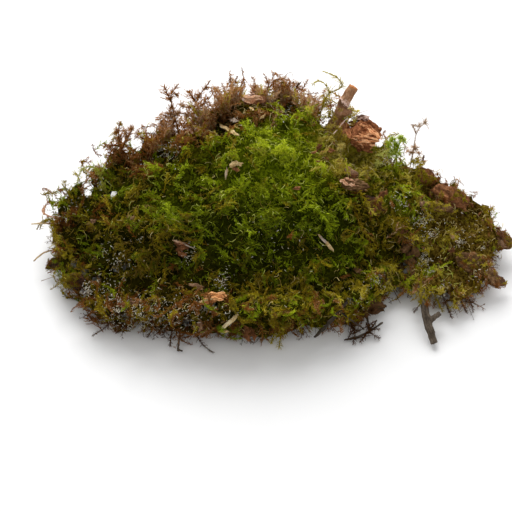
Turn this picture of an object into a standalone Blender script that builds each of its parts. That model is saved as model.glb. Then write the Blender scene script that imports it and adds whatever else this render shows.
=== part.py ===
# A torn clump of woodland moss with the twigs, bark and wood splinters caught in it
import math
import random

import bmesh
import bpy
from mathutils import Euler, Matrix, Vector, noise
from mathutils.bvhtree import BVHTree

# The layout below is in millimetres: X to the right, Y to the back, Z up from the floor
MM = 0.001
FIT_GAP = 0.35  # air between a caught piece and the moss round it
SEED = 11

# The moss mat: its torn edge seen from above, and how high it swells at a few places
TORN_EDGE = [
    (-78, -7), (-73, -19), (-65, -32), (-48, -40), (-25, -41), (-12, -43), (12, -42), (26, -40),
    (42, -34), (48, -24), (56, -20), (65, -26), (78, -29), (89, -16), (92, -8), (95, 2),
    (92, 14), (80, 22), (68, 26), (60, 32), (48, 38), (37, 44), (24, 50), (6, 54),
    (-10, 53), (-26, 47), (-42, 42), (-56, 34), (-72, 23), (-79, 9),
]
SWELLS = [
    (-76, -4, 13), (-66, 18, 22), (-48, 30, 28), (-58, -25, 13), (-30, -28, 21), (-28, 0, 32),
    (-28, 34, 38), (0, -32, 24), (0, 0, 37), (4, 28, 45), (8, 46, 50), (-14, 45, 46),
    (30, -30, 21), (30, 0, 34), (34, 28, 39), (22, 42, 46), (44, 32, 36), (52, 8, 26),
    (48, -24, 12), (58, 24, 27), (64, -12, 12), (75, 15, 23), (86, 9, 17), (80, 0, 16),
    (92, -4, 10), (78, -20, 8),
]
HUMMOCK_SPACING = 10.5
HUMMOCK_RADIUS = (8.0, 10.0)
HUMMOCK_WAIST = 0.35  # the share of a hummock's height at which it is widest
RIM_INSET = 8.6  # a rim hummock's middle lies this far inside the torn edge
RIM_SPACING = 8.0
RIM_WIDTH = 10.0
RIM_DROP = 0.16  # the share of its height that the mat loses across the rim's width
LOCK_LENGTH = (5.0, 8.0)
LOCK_RADIUS = 2.3
LOCK_LIFT = 0.35  # how strongly the outer half of a lock turns up
RIM_LOCK_SPACING = 7.0
RIM_LOCK_RISE = 9.0
MOSS_VOXEL = 1.3
MOSS_TRIANGLES = 4000
TORN_HOLES = [(66.5, 8, 2.6), (67.5, -5.5, 2.4), (49.5, -18.5, 2.6), (43.5, -25, 1.9)]  # x, y, radius
HOLE_LEAN = 40  # degrees that a torn hole leans from upright, towards the front
HOLE_LEVEL = 8.0  # the height at which a hole has the place given above
HOLE_DEPTH = 30.0
LUMP_DEPTH = 0.9  # the mat's finest lumps and pits, and how far apart they are
LUMP_SPACING = 4.5

# Sprigs of moss that stand out of the mat: each stem is a list of points, with its thickness
SPRIGS = {
    "sprig_left": (1.3, [
        [(-50.5, 27, 14), (-51.5, 29.5, 21), (-52.5, 32, 28), (-53, 33.5, 34), (-52, 34.5, 38.5)],
        [(-52, 31.5, 26.5), (-49.5, 33.5, 31), (-47, 34.5, 36)],
        [(-52.5, 32, 28), (-56, 31, 29.5), (-58.5, 30.5, 29)],
    ]),
    "sprig_far_left": (1.1, [
        [(-56.5, 15, 15), (-59, 18, 22.5), (-61, 20, 28), (-65, 20, 29), (-67.5, 19, 26.5),
         (-68.5, 17, 22.5)],
        [(-59.8, 19, 25), (-58, 21.5, 28.5)],
    ]),
    "sprig_back_left": (1.3, [
        [(-28.5, 29, 23), (-29.5, 33, 30), (-30.5, 37, 35), (-32.5, 41.5, 41), (-32, 43.5, 46),
         (-30, 44, 49)],
        [(-32.5, 42, 42), (-34, 42.5, 46), (-35, 43, 49.5)],
        [(-31, 38, 36.5), (-34, 40, 38.5), (-37, 41, 40)],
    ]),
    "sprig_back_left_short": (1.2, [
        [(-24, 31, 24), (-24, 36, 31), (-24, 40, 36.5), (-23, 43, 41), (-21, 44, 45), (-17.5, 45, 50.5)],
        [(-23, 43, 41), (-24.5, 43, 44), (-25.5, 43, 46.5)],
        [(-23.5, 41, 38), (-20.5, 42.5, 40.5), (-18.5, 43.5, 43)],
    ]),
    "sprig_back_right": (0.95, [
        [(23.5, 38, 30), (25, 41, 38), (26.5, 42.5, 43), (28, 43, 46), (26.5, 44, 49.5), (23.5, 44.5, 51),
         (21.5, 44.5, 48.5)],
        [(28, 43, 46), (31.5, 44, 47), (33, 44.5, 49), (31.5, 45, 51.5), (29.5, 45, 53.5), (25.5, 45.5, 55)],
    ]),
    "sprig_bright_green": (1.6, [
        [(54, 22.5, 21), (54, 25, 27), (53.5, 27, 31), (53, 28.5, 35.5)],
        [(53.5, 26.5, 29.5), (54.5, 27.5, 33), (56, 28.5, 36)],
        [(53.5, 26.5, 29), (52, 27, 31), (50.5, 27.5, 33)],
    ]),
    "dry_seed_head": (0.75, [
        [(58, 21, 16), (59.6, 25.4, 24), (60.2, 26.3, 30.5), (60.5, 26.5, 35), (61, 27.5, 39.5),
         (62.5, 28, 43), (64.5, 28, 45.5)],
        [(61, 27.5, 39.5), (60, 28, 42), (59, 28, 44)],
        [(60.5, 26.3, 32), (62.5, 26.5, 33.5)],
    ]),
}
SIDE_SHOOT_STEP = 3.2  # along a sprig's stem, between one side shoot and the next
SIDE_SHOOT_LENGTH = 4.0
SPRIG_TRIANGLES = 240

# Twigs: each limb is a list of points with the radius at each of them
TWIGS = {
    "cut_twig": [
        [(24, 32, 22, 2.5), (27, 35, 28.5, 2.5), (30, 38.5, 34, 2.5), (32.3, 41, 38, 2.35),
         (33.8, 42.7, 41.2, 2.8), (34.8, 43.6, 43, 2.35), (37.5, 46, 46.5, 2.45)],
        [(31.8, 39.6, 37, 1.7), (34.6, 40.8, 37.2, 1.5), (37.3, 42, 36.8, 0.9)],
    ],
    "forked_twig": [
        [(61.5, -18, 7, 1.3), (62.5, -26, 8, 1.4), (63.2, -32.5, 6.8, 1.5), (64.4, -38.3, 4.5, 1.6),
         (66.3, -43.8, 1.7, 1.3)],
        [(64.1, -36.5, 5.2, 1.2), (66.3, -35, 5.8, 1.1), (68.8, -33.3, 6.4, 0.9)],
    ],
    "front_twig": [
        [(34, -33, 14, 0.9), (30.6, -38.4, 13, 1.0), (25.8, -42, 9.5, 0.95), (21.6, -44, 5.6, 0.8)],
    ],
    "front_thin_twig": [[(30, -34, 10.5, 0.5), (33, -37, 9.5, 0.6), (40.4, -39.4, 4.4, 0.45)]],
    "front_low_twig": [
        [(33.3, -41.5, 0.9, 0.45), (38, -40.6, 1.3, 0.6), (42.6, -38.4, 2.2, 0.65), (41, -30, 4, 0.5)],
        [(42.3, -38.6, 2.2, 0.5), (47.5, -35.6, 4, 0.4)],
    ],
    "left_twiglet": [
        [(-28, -36, 6, 0.65), (-28.3, -40, 3.9, 0.6), (-29, -47, 0.95, 0.5)],
        [(-28.9, -46.2, 1.1, 0.45), (-27.2, -46.8, 0.8, 0.35)],
    ],
}

# Flakes of bark and dead leaf: middle, size (long, across, thick), turn in degrees, bend, seed
FLAKES = {
    "bark_chip_back": ((1, 42, 43), (7.5, 3.2, 1.5), (20, -12, 6), 0.3, 3),
    "bark_flake_centre": ((37, 8.4, 31.6), (12.5, 5, 1.4), (25, 6, -12), 0.8, 5),
    "bark_flake_low": ((44.6, 1.6, 28), (9.5, 6.5, 1.6), (28, 24, -40), 0.8, 8),
    "dead_leaf_centre": ((36.2, 14, 32.6), (6.5, 4, 1.2), (30, 8, -20), 0.5, 10),
    "bark_flake_right_back": ((65.6, 21.6, 22.4), (10, 7, 1.8), (14, 26, -36), 0.8, 9),
    "bark_flake_ridge": ((75, 14, 20), (17, 9, 2), (12, 15, -26), 1.2, 12),
    "bark_strip_right": ((69.5, 7.6, 20), (15.5, 3.6, 1.6), (20, 9, -6), 0.8, 14),
    "bark_flake_tip": ((94.5, 0.8, 8.2), (9, 7.5, 3), (12, 16, -50), 0.6, 17),
    "bark_flake_right_front": ((82, -13.4, 11.8), (13, 9.5, 1.8), (30, 18, -14), 1.0, 21),
    "bark_flake_right_low": ((90.4, -16.4, 5.8), (8.5, 6, 1.6), (40, 24, -30), 0.6, 23),
    "dead_leaf_front": ((43.8, -32.4, 9.8), (9.5, 8, 1.2), (56, 10, 4), 1.0, 26),
    "dead_leaf_left": ((-75.5, -11.4, 9.6), (11, 6, 2.2), (24, -20, -6), 1.0, 29),
    "dead_leaf_left_low": ((-68, -20.4, 9.8), (11, 7, 1.8), (40, -20, -14), 1.0, 31),
}

FLAKE_LOBES = 12
SEAT_WAY = (0, 0.64, -0.77)  # the way a loose piece is pressed into the moss
SEAT_REACH = 15.0
SEAT_LIFT = 0.4  # how far the middle of a seated piece stays above the moss

# Splinters and straws: each is a list of points, with half its width and how flat it is
SPLINTERS = {
    "splinter_back": (0.75, 0.5, [(-13.6, 31.6, 39.8), (-10, 28.6, 41), (-6.6, 25, 42.6)]),
    "splinter_centre": (0.95, 0.6, [(23.2, -14.2, 29.2), (26, -16.6, 28), (28.6, -18.4, 25.6)]),
    "splinter_front": (1.7, 0.45, [(-23.4, -35.8, 15.2), (-17.2, -36.4, 18.2), (-11.2, -35, 19.4)]),
    "splinter_front_low": (1.15, 0.7, [(-12.6, -42.4, 8.6), (-9.6, -41, 11.2), (-6.6, -38.6, 12.8)]),
    "curled_flake": (1.3, 0.4, [
        (-31.6, -12.6, 22.6), (-29.4, -14.6, 25.4), (-26.4, -15.6, 25.8), (-23.2, -15.2, 22.4),
    ]),
    "wood_chip_back": (1.2, 0.6, [(-9.6, 14.3, 34.9), (-8.2, 15.2, 36), (-6.8, 15.6, 36.2)]),
    "wood_chip_front": (1.0, 0.5, [(-24.6, -29.4, 18.4), (-22.2, -30.2, 19), (-19.6, -31, 18.6)]),
    "splinter_thin": (0.6, 0.8, [(-11.4, 13, 34.6), (-11.5, 12, 33), (-11.4, 11.2, 31.4)]),
    "straw_left": (0.4, 1.0, [(-86.2, 4.2, 14), (-80, 4.4, 14.2), (-71, 5, 11.5)]),
    "straw_left_husk": (0.8, 0.5, [(-81, 12.4, 16.2), (-81.6, 8.2, 16.6), (-79.6, 5.6, 16.6), (-71, 8, 12)]),
    "straw_left_low": (0.4, 1.0, [(-84.8, -8.6, 7), (-81, -5, 8), (-71, -1, 7.5)]),
}

# The lump of rotten wood: a stack of splintered slats
ROTTEN_WOOD = {
    "middle": (41.8, 32.6, 33),
    "size": (11.5, 8.5, 11),
    "turn": (20, 26, -24),
    "rows": (3, 5),  # slats across and up
    "tilt": (0.16, 0.13, 0.1),  # the most that a slat leans about each axis, in radians
    "voxel": 0.6,
    "triangles": 620,
}

# Colours: base colour and roughness
COLOURS = {
    "moss": ((0.12, 0.17, 0.025), 0.75),
    "old_moss": ((0.16, 0.075, 0.03), 0.8),
    "bright_moss": ((0.16, 0.36, 0.04), 0.65),
    "dry_stem": ((0.36, 0.2, 0.1), 0.8),
    "bark": ((0.12, 0.065, 0.035), 0.85),
    "twig": ((0.2, 0.12, 0.075), 0.75),
    "rotten_wood": ((0.34, 0.14, 0.06), 0.85),
    "pale_wood": ((0.62, 0.42, 0.22), 0.7),
    "straw": ((0.55, 0.36, 0.18), 0.7),
}


def clear_scene():
    for obj in list(bpy.data.objects):
        bpy.data.objects.remove(obj)


def place(point):
    """A layout point in millimetres as a point of the scene in metres."""
    return Vector(point) * MM


def make_material(name):
    colour, roughness = COLOURS[name]
    material = bpy.data.materials.new(name)
    material.use_nodes = True
    shader = material.node_tree.nodes["Principled BSDF"]
    shader.inputs["Base Color"].default_value = (*colour, 1)
    shader.inputs["Roughness"].default_value = roughness
    shader.inputs["Metallic"].default_value = 0.0
    material.diffuse_color = (*colour, 1)
    return material


def make_object(name, mesh, material, collection):
    obj = bpy.data.objects.new(name, mesh)
    collection.objects.link(obj)
    mesh.materials.clear()
    mesh.materials.append(material)
    return obj


def evaluated_copy(obj):
    """The object's mesh with its modifiers applied, in world space."""
    bpy.context.view_layer.update()
    graph = bpy.context.evaluated_depsgraph_get()
    mesh = bpy.data.meshes.new_from_object(obj.evaluated_get(graph))
    mesh.transform(obj.matrix_world)
    return mesh


def swap_mesh(obj, mesh):
    """Gives the object a finished mesh in world space, with no modifiers left."""
    obj.modifiers.clear()
    obj.matrix_world = Matrix.Identity(4)
    material = obj.data.materials[0]
    obj.data = mesh
    mesh.materials.clear()
    mesh.materials.append(material)


def fuse(obj, voxel, triangles):
    """Joins the overlapping shapes of an object into one skin of about that many triangles."""
    remesh = obj.modifiers.new("fuse", "REMESH")
    remesh.mode = "VOXEL"
    remesh.voxel_size = voxel * MM
    dense = evaluated_copy(obj)
    swap_mesh(obj, dense)
    keep_largest(dense)
    thin_out(obj, triangles)


def thin_out(obj, triangles):
    decimate = obj.modifiers.new("thin out", "DECIMATE")
    decimate.use_collapse_triangulate = True
    count = sum(len(face.vertices) - 2 for face in obj.data.polygons)
    decimate.ratio = min(1.0, triangles / count)
    swap_mesh(obj, evaluated_copy(obj))


def keep_largest(mesh):
    """Removes every loose scrap but the largest body of a mesh."""
    bm = bmesh.new()
    bm.from_mesh(mesh)
    unseen = set(bm.verts)
    bodies = []
    while unseen:
        body = set()
        front = [unseen.pop()]
        while front:
            vert = front.pop()
            body.add(vert)
            for edge in vert.link_edges:
                other = edge.other_vert(vert)
                if other in unseen:
                    unseen.remove(other)
                    front.append(other)
        bodies.append(body)
    bodies.sort(key=len)
    scraps = [vert for body in bodies[:-1] for vert in body]
    bmesh.ops.delete(bm, geom=scraps, context="VERTS")
    bm.to_mesh(mesh)
    bm.free()


def frame_along(start, direction):
    """A matrix whose Z runs along the direction, from the start point."""
    turn = direction.to_track_quat("Z", "Y").to_matrix().to_4x4()
    return Matrix.Translation(start) @ turn


def edge_distance(x, y):
    """How far a point lies inside the torn edge, in millimetres, and below 0 outside it."""
    point = Vector((x, y))
    inside = False
    nearest = math.inf
    for index, end in enumerate(TORN_EDGE):
        a, b = Vector(TORN_EDGE[index - 1]), Vector(end)
        if (a.y > y) != (b.y > y) and x < (b.x - a.x) * (y - a.y) / (b.y - a.y) + a.x:
            inside = not inside
        along = max(0.0, min(1.0, (point - a).dot(b - a) / (b - a).length_squared))
        nearest = min(nearest, (point - a - (b - a) * along).length)
    return nearest if inside else -nearest


def swell_height(x, y):
    """The mat's height at a point, blended from the nearest swells."""
    total = weight_sum = 0.0
    for sx, sy, height in SWELLS:
        weight = 1.0 / (((x - sx) ** 2 + (y - sy) ** 2) ** 2 + 400.0)
        total += weight * height
        weight_sum += weight
    return total / weight_sum


def along_edge(spacing):
    """Evenly spread spots along the torn edge, each with its outward direction."""
    spots = []
    for index, end in enumerate(TORN_EDGE):
        a, b = Vector(TORN_EDGE[index - 1]), Vector(end)
        outward = Vector((b.y - a.y, a.x - b.x)).normalized()
        count = max(1, round((b - a).length / spacing))
        spots += [(a.lerp(b, (step + 0.5) / count), outward) for step in range(count)]
    return spots


def hummock_places(rng):
    """Middles of the rounded cushions: a row just inside the torn edge and a jittered grid within it."""
    places = []
    for spot, outward in along_edge(RIM_SPACING):
        place_in = spot - outward * (RIM_INSET + rng.uniform(-0.8, 0.8))
        places.append((place_in.x, place_in.y))
    row_step = HUMMOCK_SPACING * math.sqrt(3) / 2
    for row in range(-5, 7):
        for column in range(-9, 11):
            x = (column + 0.5 * (row % 2)) * HUMMOCK_SPACING + rng.uniform(-1.8, 1.8)
            y = row * row_step + rng.uniform(-1.8, 1.8)
            if edge_distance(x, y) > RIM_INSET + 0.6 * HUMMOCK_SPACING:
                places.append((x, y))
    return places


def add_hummock(bm, x, y, rng):
    """One cushion, widest a third of the way up. Returns its middle and radii."""
    radius = rng.uniform(*HUMMOCK_RADIUS)
    inward = min(1.0, (edge_distance(x, y) - RIM_INSET) / RIM_WIDTH)
    top = swell_height(x, y) * (1 - RIM_DROP * (1 - inward)) * rng.uniform(0.93, 1.07)
    middle = (x, y, top * HUMMOCK_WAIST)
    radii = Vector((radius, radius * rng.uniform(0.85, 1.1), top * (1 - HUMMOCK_WAIST)))
    matrix = Matrix.Translation(place(middle)) @ Matrix.Diagonal((*radii * MM, 1))
    bmesh.ops.create_icosphere(bm, subdivisions=2, radius=1, matrix=matrix)
    return Vector(middle), radii


def add_lock(bm, root, direction, length, radius):
    """One tapered lock of shoots, bent a little upwards, in two lengths."""
    direction = direction.normalized()
    bent = (direction + Vector((0, 0, LOCK_LIFT))).normalized()
    half = length * 0.5
    knee = root + direction * half
    halves = ((root, direction, radius, radius * 0.8), (knee, bent, radius * 0.8, radius * 0.5))
    for start, way, low, high in halves:
        middle = start + way * half * 0.5
        bmesh.ops.create_cone(
            bm, cap_ends=True, segments=7, radius1=low * MM, radius2=high * MM,
            depth=half * 1.1 * MM, matrix=frame_along(place(middle), way),
        )


def add_top_locks(bm, middle, radii, rng):
    """A few locks that point up and out of one cushion."""
    for _ in range(rng.choice((1, 1, 2))):
        angle = rng.uniform(0, math.tau)
        lift = rng.uniform(0.5, 1.1)
        way = Vector((math.cos(angle) * math.cos(lift), math.sin(angle) * math.cos(lift), math.sin(lift)))
        root = middle + Vector((way.x * radii.x, way.y * radii.y, way.z * radii.z)) * 0.82
        add_lock(bm, root, way, rng.uniform(*LOCK_LENGTH), LOCK_RADIUS * rng.uniform(0.8, 1.15))


def add_rim_locks(bm, rng):
    """Ragged locks that point outwards all over the torn sides."""
    for spot, outward in along_edge(RIM_LOCK_SPACING):
        height = swell_height(*spot)
        for level in range(1 + round(height / RIM_LOCK_RISE)):
            rise = min(0.85 * height, (level + rng.uniform(0.3, 0.9)) * RIM_LOCK_RISE)
            root = Vector((*(spot - outward * rng.uniform(2.5, 4.5)), rise))
            stray = Vector((rng.uniform(-0.6, 0.6), rng.uniform(-0.6, 0.6), rng.uniform(-0.2, 0.7)))
            way = Vector((*outward, 0)) + stray
            length = rng.uniform(*LOCK_LENGTH) * min(1.0, 0.35 + height / 40)
            add_lock(bm, root, way, length, LOCK_RADIUS * rng.uniform(0.75, 1.05))


def roughen(mesh, depth, scale):
    """Moves each point along its normal by smooth noise, for lumps and pits."""
    normals = [vert.normal.copy() for vert in mesh.vertices]
    for vert, normal in zip(mesh.vertices, normals):
        push = noise.noise(vert.co / (scale * MM)) + 0.5 * noise.noise(vert.co * 2.1 / (scale * MM))
        vert.co += normal * push * depth * MM


def add_cutter(name, mesh, collection):
    cutter = bpy.data.objects.new(name, mesh)
    collection.objects.link(cutter)
    cutter.hide_render = True
    cutter.display_type = "WIRE"


def add_floor_cutter(collection):
    """A block whose top is the floor: it cuts the mat flat where it was torn off."""
    bm = bmesh.new()
    block = Matrix.Translation(place((0, 0, -50))) @ Matrix.Diagonal((*place((400, 400, 100)), 1))
    bmesh.ops.create_cube(bm, size=1, matrix=block)
    mesh = bpy.data.meshes.new("floor")
    bm.to_mesh(mesh)
    bm.free()
    add_cutter("cutter_floor", mesh, collection)


def add_hole_cutter(index, x, y, radius, collection):
    """A ragged slanted plug for a torn hole through the thin right side."""
    bm = bmesh.new()
    bmesh.ops.create_cone(bm, cap_ends=True, segments=9, radius1=1, radius2=0.85, depth=2)
    for vert in bm.verts:
        swell = 1 + 0.35 * noise.noise(vert.co * 1.7 + Vector((index * 3.1, 0, 0)))
        vert.co.x *= radius * swell * MM
        vert.co.y *= radius * swell * MM
        vert.co.z *= HOLE_DEPTH * MM
    lean = Matrix.Rotation(math.radians(HOLE_LEAN), 4, "X")
    bmesh.ops.transform(bm, matrix=Matrix.Translation(place((x, y, HOLE_LEVEL))) @ lean, verts=bm.verts)
    mesh = bpy.data.meshes.new("hole")
    bm.to_mesh(mesh)
    bm.free()
    add_cutter(f"cutter_hole_{index}", mesh, collection)


def add_swollen_cutter(piece, collection):
    """A copy of a caught piece, larger by the fit gap, that cuts its bed in the moss."""
    mesh = evaluated_copy(piece)
    normals = [vert.normal.copy() for vert in mesh.vertices]
    for vert, normal in zip(mesh.vertices, normals):
        vert.co += normal * FIT_GAP * MM
    add_cutter(f"cutter_{piece.name}", mesh, collection)


def cut(obj, cutters):
    """Takes every object of the cutters collection away from obj, and any scrap that comes loose."""
    boolean = obj.modifiers.new("cut", "BOOLEAN")
    boolean.operation = "DIFFERENCE"
    boolean.solver = "MANIFOLD"
    boolean.operand_type = "COLLECTION"
    boolean.collection = cutters
    mesh = evaluated_copy(obj)
    keep_largest(mesh)
    swap_mesh(obj, mesh)


def build_mat(material, collection):
    """The moss mat before it is cut: cushions and locks fused into one lumpy body."""
    rng = random.Random(SEED)
    bm = bmesh.new()
    for x, y in hummock_places(rng):
        middle, radii = add_hummock(bm, x, y, rng)
        add_top_locks(bm, middle, radii, rng)
    add_rim_locks(bm, rng)
    mesh = bpy.data.meshes.new("moss_mat")
    bm.to_mesh(mesh)
    bm.free()
    mat = make_object("moss_mat", mesh, material, collection)
    remesh = mat.modifiers.new("fuse", "REMESH")
    remesh.mode = "VOXEL"
    remesh.voxel_size = MOSS_VOXEL * MM
    swap_mesh(mat, evaluated_copy(mat))
    keep_largest(mat.data)
    roughen(mat.data, LUMP_DEPTH, LUMP_SPACING)
    thin_out(mat, MOSS_TRIANGLES)
    return mat


def tube(points, radii, sides):
    """A round rod through points in the layout, as a closed mesh in world space."""
    data = bpy.data.curves.new("rod", "CURVE")
    data.dimensions = "3D"
    data.bevel_depth = MM
    data.bevel_resolution = max(0, sides // 2 - 2)
    data.use_fill_caps = True
    spline = data.splines.new("POLY")
    spline.points.add(len(points) - 1)
    for point, spot, radius in zip(spline.points, points, radii):
        point.co = (*place(spot), 1)
        point.radius = radius
    rod = bpy.data.objects.new("rod", data)
    bpy.context.scene.collection.objects.link(rod)
    mesh = evaluated_copy(rod)
    bpy.data.objects.remove(rod)
    bm = bmesh.new()
    bm.from_mesh(mesh)
    bmesh.ops.remove_doubles(bm, verts=bm.verts, dist=0.00001)
    bm.to_mesh(mesh)
    bm.free()
    return mesh


def spline_value(before, a, b, after, t):
    """The value at t between a and b on a Catmull-Rom spline."""
    slope = b - before
    curve = 2 * before - 5 * a + 4 * b - after
    twist = 3 * a - before - 3 * b + after
    return 0.5 * (2 * a + slope * t + curve * t ** 2 + twist * t ** 3)


def smooth_path(points, steps):
    """Points read from a smooth curve through the given ones, of any number of values each."""
    path = []
    last = len(points) - 1
    for index in range(last):
        before, after = points[max(0, index - 1)], points[min(last, index + 2)]
        for step in range(steps):
            values = zip(before, points[index], points[index + 1], after)
            path.append(tuple(spline_value(*four, step / steps) for four in values))
    path.append(tuple(points[-1]))
    return path


def side_shoots(path, rng):
    """Short stems that leave a path to the left and right in turn, as on a feather moss."""
    shoots = []
    travelled = 0.0
    side = rng.choice((-1, 1))
    for a, b in zip(path, path[1:]):
        start, end = Vector(a), Vector(b)
        travelled += (end - start).length
        if travelled < SIDE_SHOOT_STEP:
            continue
        travelled = 0.0
        side = -side
        along = (end - start).normalized()
        across = along.cross(Vector((0, -1, 0.4))).normalized() * side
        away = Vector((0, rng.uniform(-0.5, 0.5), 0.15))
        way = (along * 0.7 + across + away).normalized()
        tip = end + way * SIDE_SHOOT_LENGTH * rng.uniform(0.75, 1.2)
        shoots.append([tuple(end), tuple(end.lerp(tip, 0.55)), tuple(tip + along * 0.6)])
    return shoots


def build_sprig(name, thickness, stems, material, collection):
    """A sprig: tapered leafy stems with short side shoots, fused where they meet."""
    rng = random.Random(name)
    bm = bmesh.new()
    main_count = len(stems)
    leafy = stems if thickness < 1 else stems + side_shoots(smooth_path(stems[0], 3)[4:-1], rng)
    for number, stem in enumerate(leafy):
        path = smooth_path(stem, 3)
        reach = thickness * (1.0 if number == 0 else 0.85 if number < main_count else 0.75)
        last = len(path) - 1
        radii = []
        for index in range(last + 1):
            taper = 1.0 - 0.5 * (index / last) ** 2
            radii.append(reach * taper * (1 + 0.18 * math.sin(index * 2.4)))
        bm.from_mesh(tube(path, radii, 8))
    mesh = bpy.data.meshes.new(name)
    bm.to_mesh(mesh)
    bm.free()
    sprig = make_object(name, mesh, material, collection)
    fuse(sprig, min(0.5, thickness * 0.4), SPRIG_TRIANGLES)
    return sprig


def build_twig(name, limbs, material, collection):
    """A twig: one rod for each limb, joined by a union."""
    rods = []
    for limb in limbs:
        path = smooth_path(limb, 2 if limb[0][3] > 1 else 1)
        mesh = tube([p[:3] for p in path], [p[3] for p in path], 10 if limb[0][3] > 1 else 6)
        rods.append(make_object(name if not rods else f"{name}_limb", mesh, material, collection))
    twig = rods[0]
    for rod in rods[1:]:
        union = twig.modifiers.new("join limb", "BOOLEAN")
        union.operation = "UNION"
        union.object = rod
    if len(rods) > 1:
        swap_mesh(twig, evaluated_copy(twig))
        for rod in rods[1:]:
            bpy.data.objects.remove(rod)
    return twig


def build_flake(name, spec, material, collection):
    """A flake of bark or dead leaf: a flat plate with a ragged outline, ridged along its length and bent."""
    middle, size, turn, bend, seed = spec
    rng = random.Random(seed)
    bm = bmesh.new()
    bmesh.ops.create_uvsphere(bm, u_segments=FLAKE_LOBES, v_segments=5, radius=1)
    lobes = [rng.uniform(0.72, 1.12) for _ in range(FLAKE_LOBES)]
    for vert in bm.verts:
        around = math.hypot(vert.co.x, vert.co.y)
        if around > 0.001:
            angle = math.atan2(vert.co.y, vert.co.x) % math.tau
            ragged = lobes[round(angle / math.tau * FLAKE_LOBES) % FLAKE_LOBES]
            grow = around ** 0.45 / around * ragged
            vert.co.x *= grow
            vert.co.y *= grow
        level = math.copysign(abs(vert.co.z) ** 0.6, vert.co.z)
        ridge = noise.noise(Vector((vert.co.x * 0.8, vert.co.y * 3.4, seed)))
        x, y = vert.co.x * size[0] / 2, vert.co.y * size[1] / 2
        z = level * size[2] / 2 + ridge * size[2] * 0.3 - bend * (vert.co.x ** 2 + 0.5 * vert.co.y ** 2)
        vert.co = Vector((x, y, z)) * MM
    rotation = Euler([math.radians(angle) for angle in turn]).to_matrix().to_4x4()
    bmesh.ops.transform(bm, matrix=Matrix.Translation(place(middle)) @ rotation, verts=bm.verts)
    mesh = bpy.data.meshes.new(name)
    bm.to_mesh(mesh)
    bm.free()
    return make_object(name, mesh, material, collection)


def build_splinter(name, half_width, flatness, points, material, collection):
    """A splinter or straw: a rod flattened towards its own lowest side, with blunt ends."""
    path = smooth_path(points, 2)
    last = len(path) - 1
    radii = [half_width * (0.75 + 0.25 * math.sin(math.pi * i / last)) for i in range(last + 1)]
    mesh = tube(path, radii, 8 if half_width > 0.5 else 6)
    spine = [place(p) for p in path]
    for vert in mesh.vertices:
        nearest = min(spine, key=lambda spot: (spot - vert.co).length_squared)
        vert.co.z = nearest.z + (vert.co.z - nearest.z) * flatness
    return make_object(name, mesh, material, collection)


def seat(piece, middle, moss):
    """Slides a piece along SEAT_WAY until its middle lies just above the moss."""
    way = Vector(SEAT_WAY).normalized()
    start = place(middle)
    hit = moss.ray_cast(start - way * SEAT_REACH * MM, way)[0]
    if hit is not None:
        piece.data.transform(Matrix.Translation(hit - way * SEAT_LIFT * MM - start))


def build_rotten_wood(material, collection):
    """A lump of rotten wood: slats of grain with stepped, splintered ends, fused into one."""
    rng = random.Random(SEED + 4)
    spec = ROTTEN_WOOD
    length, depth, height = spec["size"]
    across, up = spec["rows"]
    rotation = Euler([math.radians(angle) for angle in spec["turn"]]).to_matrix().to_4x4()
    whole = Matrix.Translation(place(spec["middle"])) @ rotation
    bm = bmesh.new()
    for row in range(up):
        for column in range(across):
            round_off = 1 - 0.3 * abs(2 * (row + 0.5) / up - 1) - 0.15 * abs(2 * (column + 0.5) / across - 1)
            reach = length * round_off * rng.uniform(0.75, 1.05)
            slat = Vector((reach, depth / across * 1.25, height / up * 0.98))
            spot = Vector((
                rng.uniform(-1.2, 1.2),
                (column + 0.5 - across / 2) * depth / across + rng.uniform(-0.4, 0.4),
                (row + 0.5 - up / 2) * height / up,
            ))
            tilt = Euler([rng.uniform(-limit, limit) for limit in spec["tilt"]]).to_matrix().to_4x4()
            matrix = whole @ Matrix.Translation(spot * MM) @ tilt @ Matrix.Diagonal((*slat * MM, 1))
            bmesh.ops.create_cube(bm, size=1, matrix=matrix)
    mesh = bpy.data.meshes.new("rotten_wood")
    bm.to_mesh(mesh)
    bm.free()
    lump = make_object("rotten_wood", mesh, material, collection)
    fuse(lump, spec["voxel"], spec["triangles"])
    return lump


def centre_on_base(pieces, cutters):
    """Moves everything so that the origin is the middle of the base of the pieces' common box."""
    points = [vert.co for obj in pieces.objects for vert in obj.data.vertices]
    middle = [(min(p[axis] for p in points) + max(p[axis] for p in points)) / 2 for axis in (0, 1)]
    for obj in [*pieces.objects, *cutters.objects]:
        obj.data.transform(Matrix.Translation((-middle[0], -middle[1], 0)))


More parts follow.
